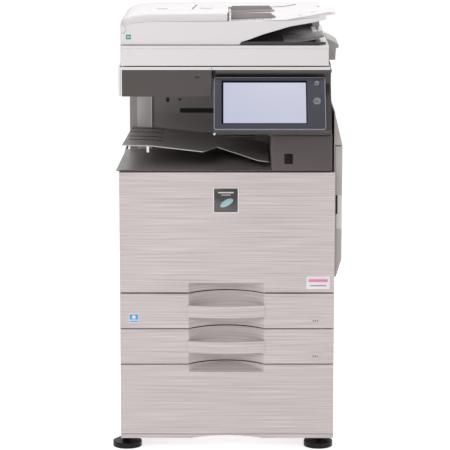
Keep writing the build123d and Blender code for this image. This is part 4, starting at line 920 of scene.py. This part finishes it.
# The slash is a black plate of painted gap shade.
plate("cover_slash", "feed_cover", "gap_shade", "top", on_cover(200, 330), (2.6, 190), 1.2,
      [(0, -0.3), (0, 0.15), (0.2, 0.25)], frame_axes=COVER_AXES, turn=-3)
plate("cover_card", "feed_cover", "label_white", "top", on_cover(232, 320), (34, 150), 2.0,
      [(0, -0.3), (0, 0.1), (0.1, 0.15)],
      frame_axes=COVER_AXES)
line = [(tray_low[0] + 0.002, y, z_feed + 0.0578) for y in np.linspace(tray_low[1] + 0.004,
                                                                       tray_high[1] - 0.004, 12)]
bead("tray_mouth_rim", "document_tray", "feeder_light", line, 2.4)
KNEE = math.atan2(0.022, 0.131)
for count, (x, y) in enumerate(((196, 90), (232, 130))):
    place = (split + x * MM, front + y * MM, float(document_height(split + x * MM)))
    tri_axes = ((math.cos(KNEE), 0, math.sin(KNEE)), (0, 1, 0), (-math.sin(KNEE), 0, math.cos(KNEE)))
    dish(f"tray_arrow_{count}", "document_tray", "mark_pale", place, tri_axes,
         [(11, -0.2), (10.6, 0.12), (0, 0.16)],
         turns=3, smooth=20)
for count in range(5):
    x = split + (30 + 22 * count) * MM
    y0, y1 = tray_low[1] + 0.012, tray_high[1] - 0.012
    ys = np.linspace(y0, y1, 6)
    bead(f"tray_size_line_{count}", "document_tray", "mark_pale",
         np.stack([np.full(6, x), ys, np.full(6, float(document_height(x)) + 0.00005)], axis=-1), 0.6,
         flat=0.5)

# ---- side door

door_low, door_high = edges_of("right_door")
plate("door_handle_plate", "right_door", "latch", "front",
      ((door_low[0] + door_high[0]) / 2 + 0.0015, door_low[1] + 0.0001, z_cover + 0.2185),
      ((door_high[0] - door_low[0]) * 1000 - 3.4, 92), 2.0, [(0, -0.5), (0, 0.3), (0.4, 0.6)])
# The handle slot is a black plate: painted shade inside the finger slot.
plate("door_handle_slot", "right_door", "gap_shade", "front",
      (door_low[0] + 0.0042, door_low[1] - 0.0005, z_cover + 0.2385), (5.2, 52), 1.5,
      [(0, -0.3), (0, 0.1), (0.1, 0.15)])
latch_low, latch_high = edges_of("door_latch")
plate("latch_grip", "door_latch", "latch", "right",
      (latch_high[0] - 0.0004, (latch_low[1] + latch_high[1]) / 2, (latch_low[2] + latch_high[2]) / 2),
      (30, 98), 4.0, [(0, -0.3), (0, 0.6), (1.0, 1.0), (3.0, 1.0), (5.0, 0.1)])

# ---- back and sides

rear_low, rear_high = edges_of("rear_cover")
left_low, left_high = edges_of("left_cover")


def screw(name, body, facing, place, radius=4.2):
    """A pan-head screw: a low dome with a sunk centre, as a turned profile."""
    axes = AXES[facing]
    dish(name, body, "screw", place, axes,
         [(radius, -0.3), (radius, 0.5), (radius * 0.85, 1.2), (radius * 0.5, 1.6), (radius * 0.3, 1.6),
          (0, 1.0)], 20)


inset = 0.014
for count, (x, z) in enumerate(
    [(rear_low[0] + inset, rear_low[2] + inset), (rear_high[0] - inset, rear_low[2] + inset),
     (rear_low[0] + inset, rear_high[2] - inset), (rear_high[0] - inset, rear_high[2] - inset),
     ((rear_low[0] + rear_high[0]) / 2, rear_high[2] - inset)]
):
    screw(f"rear_screw_{count}", "machine", "back", (x, rear_high[1] - 0.0011, z))
for count, (y, z) in enumerate(
    [(left_low[1] + 0.03, left_low[2] + inset), (left_high[1] - 0.03, left_low[2] + inset),
     (left_low[1] + 0.03, left_high[2] - inset), (left_high[1] - 0.03, left_high[2] - inset)]
):
    screw(f"left_screw_{count}", "machine", "left", (left_low[0] + 0.0004, y, z), 3.4)
rating_x = (rear_low[0] + rear_high[0]) / 2 - 0.16
plate("rating_plate", "machine", "label_white", "back", (rating_x, rear_high[1] - 0.0001, rear_low[2] + 0.09),
      (92, 52), 2.0, [(0, -0.2), (0, 0.12), (0.1, 0.18)])
for count in range(5):
    plate(f"rating_line_{count}", "machine", "mark_grey", "back",
          (rating_x - (0.008 if count % 2 else 0.0), rear_high[1] + 0.00006,
           rear_low[2] + 0.108 - count * 0.009),
          (72 - 16 * (count % 2), 2.2), 0.8, [(0, -0.1), (0, 0.03), (0.05, 0.05)])
# The louvres are black plates: painted shade inside the vent slots.
LOUVRE = [(0, -0.2), (0, 0.05), (0.1, 0.08)]
for count in range(12):
    plate(f"rear_louvre_{count}", "machine", "gap_shade", "back",
          (rear_low[0] + 0.13, rear_high[1] - 0.0001, rear_low[2] + 0.20 + count * 0.009), (120, 3.4), 1.6,
          LOUVRE)
for count in range(14):
    plate(f"left_louvre_{count}", "machine", "gap_shade", "left",
          (left_low[0] + 0.0001, left_high[1] - 0.13, left_low[2] + 0.24 + count * 0.0085), (130, 3.2), 1.5,
          LOUVRE)
stand_low, stand_high = edges_of("stand_frame")
for count, (facing, x) in enumerate((("left", stand_low[0]), ("right", stand_high[0]))):
    side = 1 if facing == "left" else -1
    rows = [(y, z) for z in (0.06, 0.20) for y in (stand_low[1] + 0.05, stand_high[1] - 0.04)]
    for row, (y, z) in enumerate(rows):
        screw(f"stand_screw_{facing}_{row}", "machine", facing, (x + side * 0.0004, y, z), 3.4)
upper_back = edges_of("upper_frame")[1][1]
for count in range(4):
    x = (frame_low[0] + 0.03, frame_high[0] - 0.04)[count % 2]
    z = (z_tray + 0.02, z_rail - 0.02)[count // 2]
    screw(f"upper_screw_{count}", "machine", "back", (x, upper_back - 0.0096, z), 3.4)

# ---- floor, lights and camera


def floor_sheet():
    """A pale floor: a square grid that lies just under the feet."""
    size = 14.0
    line = np.linspace(-size, size, 9)
    x, y = np.meshgrid(line, line)
    points = np.stack([x, y, np.full_like(x, -0.0002)], axis=-1).reshape(-1, 3)
    index = np.arange(81).reshape(9, 9)
    faces = np.stack([index[:-1, :-1], index[:-1, 1:], index[1:, 1:], index[1:, :-1]], axis=-1).reshape(-1, 4)
    mesh = bpy.data.meshes.new("floor")
    mesh.from_pydata(points.tolist(), [], faces.tolist())
    floor = bpy.data.objects.new("floor", mesh)
    bpy.context.scene.collection.objects.link(floor)
    made, _, shader = bare_material("Pale floor")
    shader.inputs["Base Color"].default_value = (0.90, 0.90, 0.90, 1)
    shader.inputs["Roughness"].default_value = 0.7
    shader.inputs["Emission Color"].default_value = (1, 1, 1, 1)
    shader.inputs["Emission Strength"].default_value = 0.63
    mesh.materials.append(made)


def soft_light(name, place, aim, size, power):
    """A white rectangular soft box at a place in metres, turned to face aim, with its power in watts."""
    data = bpy.data.lights.new(name, "AREA")
    data.shape = "RECTANGLE"
    data.size, data.size_y = size
    data.energy = power
    light = bpy.data.objects.new(name, data)
    bpy.context.scene.collection.objects.link(light)
    direction = np.array(aim) - np.array(place)
    light.location = place
    light.rotation_euler = Vector(direction).to_track_quat("-Z", "Y").to_euler()


floor_sheet()
soft_light("key", (-2.6, -3.4, 2.9), (0, 0, 0.7), (2.4, 2.4), 42)
soft_light("fill", (2.8, -3.2, 1.4), (0, 0, 0.6), (2.2, 2.2), 4)
soft_light("front", (-1.0, -4.4, 2.6), (0, 0, 0.5), (1.2, 0.8), 34)
soft_light("top", (0.2, 0.2, 4.2), (0, 0, 0.6), (3.0, 3.0), 44)
soft_light("back", (0.0, 3.6, 2.6), (0, 0, 0.8), (3.0, 2.2), 40)


LIGHT_ON_OBJECT, EXTRA_IF_SEEN = 0.43, 0.65


def studio_world():
    """White surroundings: full white to the eye, softer as a light on the object."""
    world = bpy.data.worlds.new("studio")
    world.use_nodes = True
    tree = world.node_tree
    surround = tree.nodes["Background"]
    surround.inputs[0].default_value = (1, 1, 1, 1)
    seen = add(tree, "ShaderNodeLightPath").outputs["Is Camera Ray"]
    strength = math_node(tree, "ADD", math_node(tree, "MULTIPLY", seen, EXTRA_IF_SEEN), LIGHT_ON_OBJECT)
    tree.links.new(strength, surround.inputs[1])
    bpy.context.scene.world = world


studio_world()

ELEVATION = math.radians(10.5)
DISTANCE = 6.5
AIM = (mid_x - 0.0055, -0.275, 0.6252)
LENS_MM = 193.3
camera_data = bpy.data.cameras.new("camera")
camera_data.sensor_width = 36.0
camera_data.lens = LENS_MM
camera = bpy.data.objects.new("camera", camera_data)
bpy.context.scene.collection.objects.link(camera)
camera.location = (
    AIM[0],
    AIM[1] - DISTANCE * math.cos(ELEVATION),
    AIM[2] + DISTANCE * math.sin(ELEVATION),
)
camera.rotation_euler = (math.pi / 2 - ELEVATION, 0, 0)
bpy.context.scene.camera = camera
bpy.context.scene.view_settings.view_transform = "Standard"
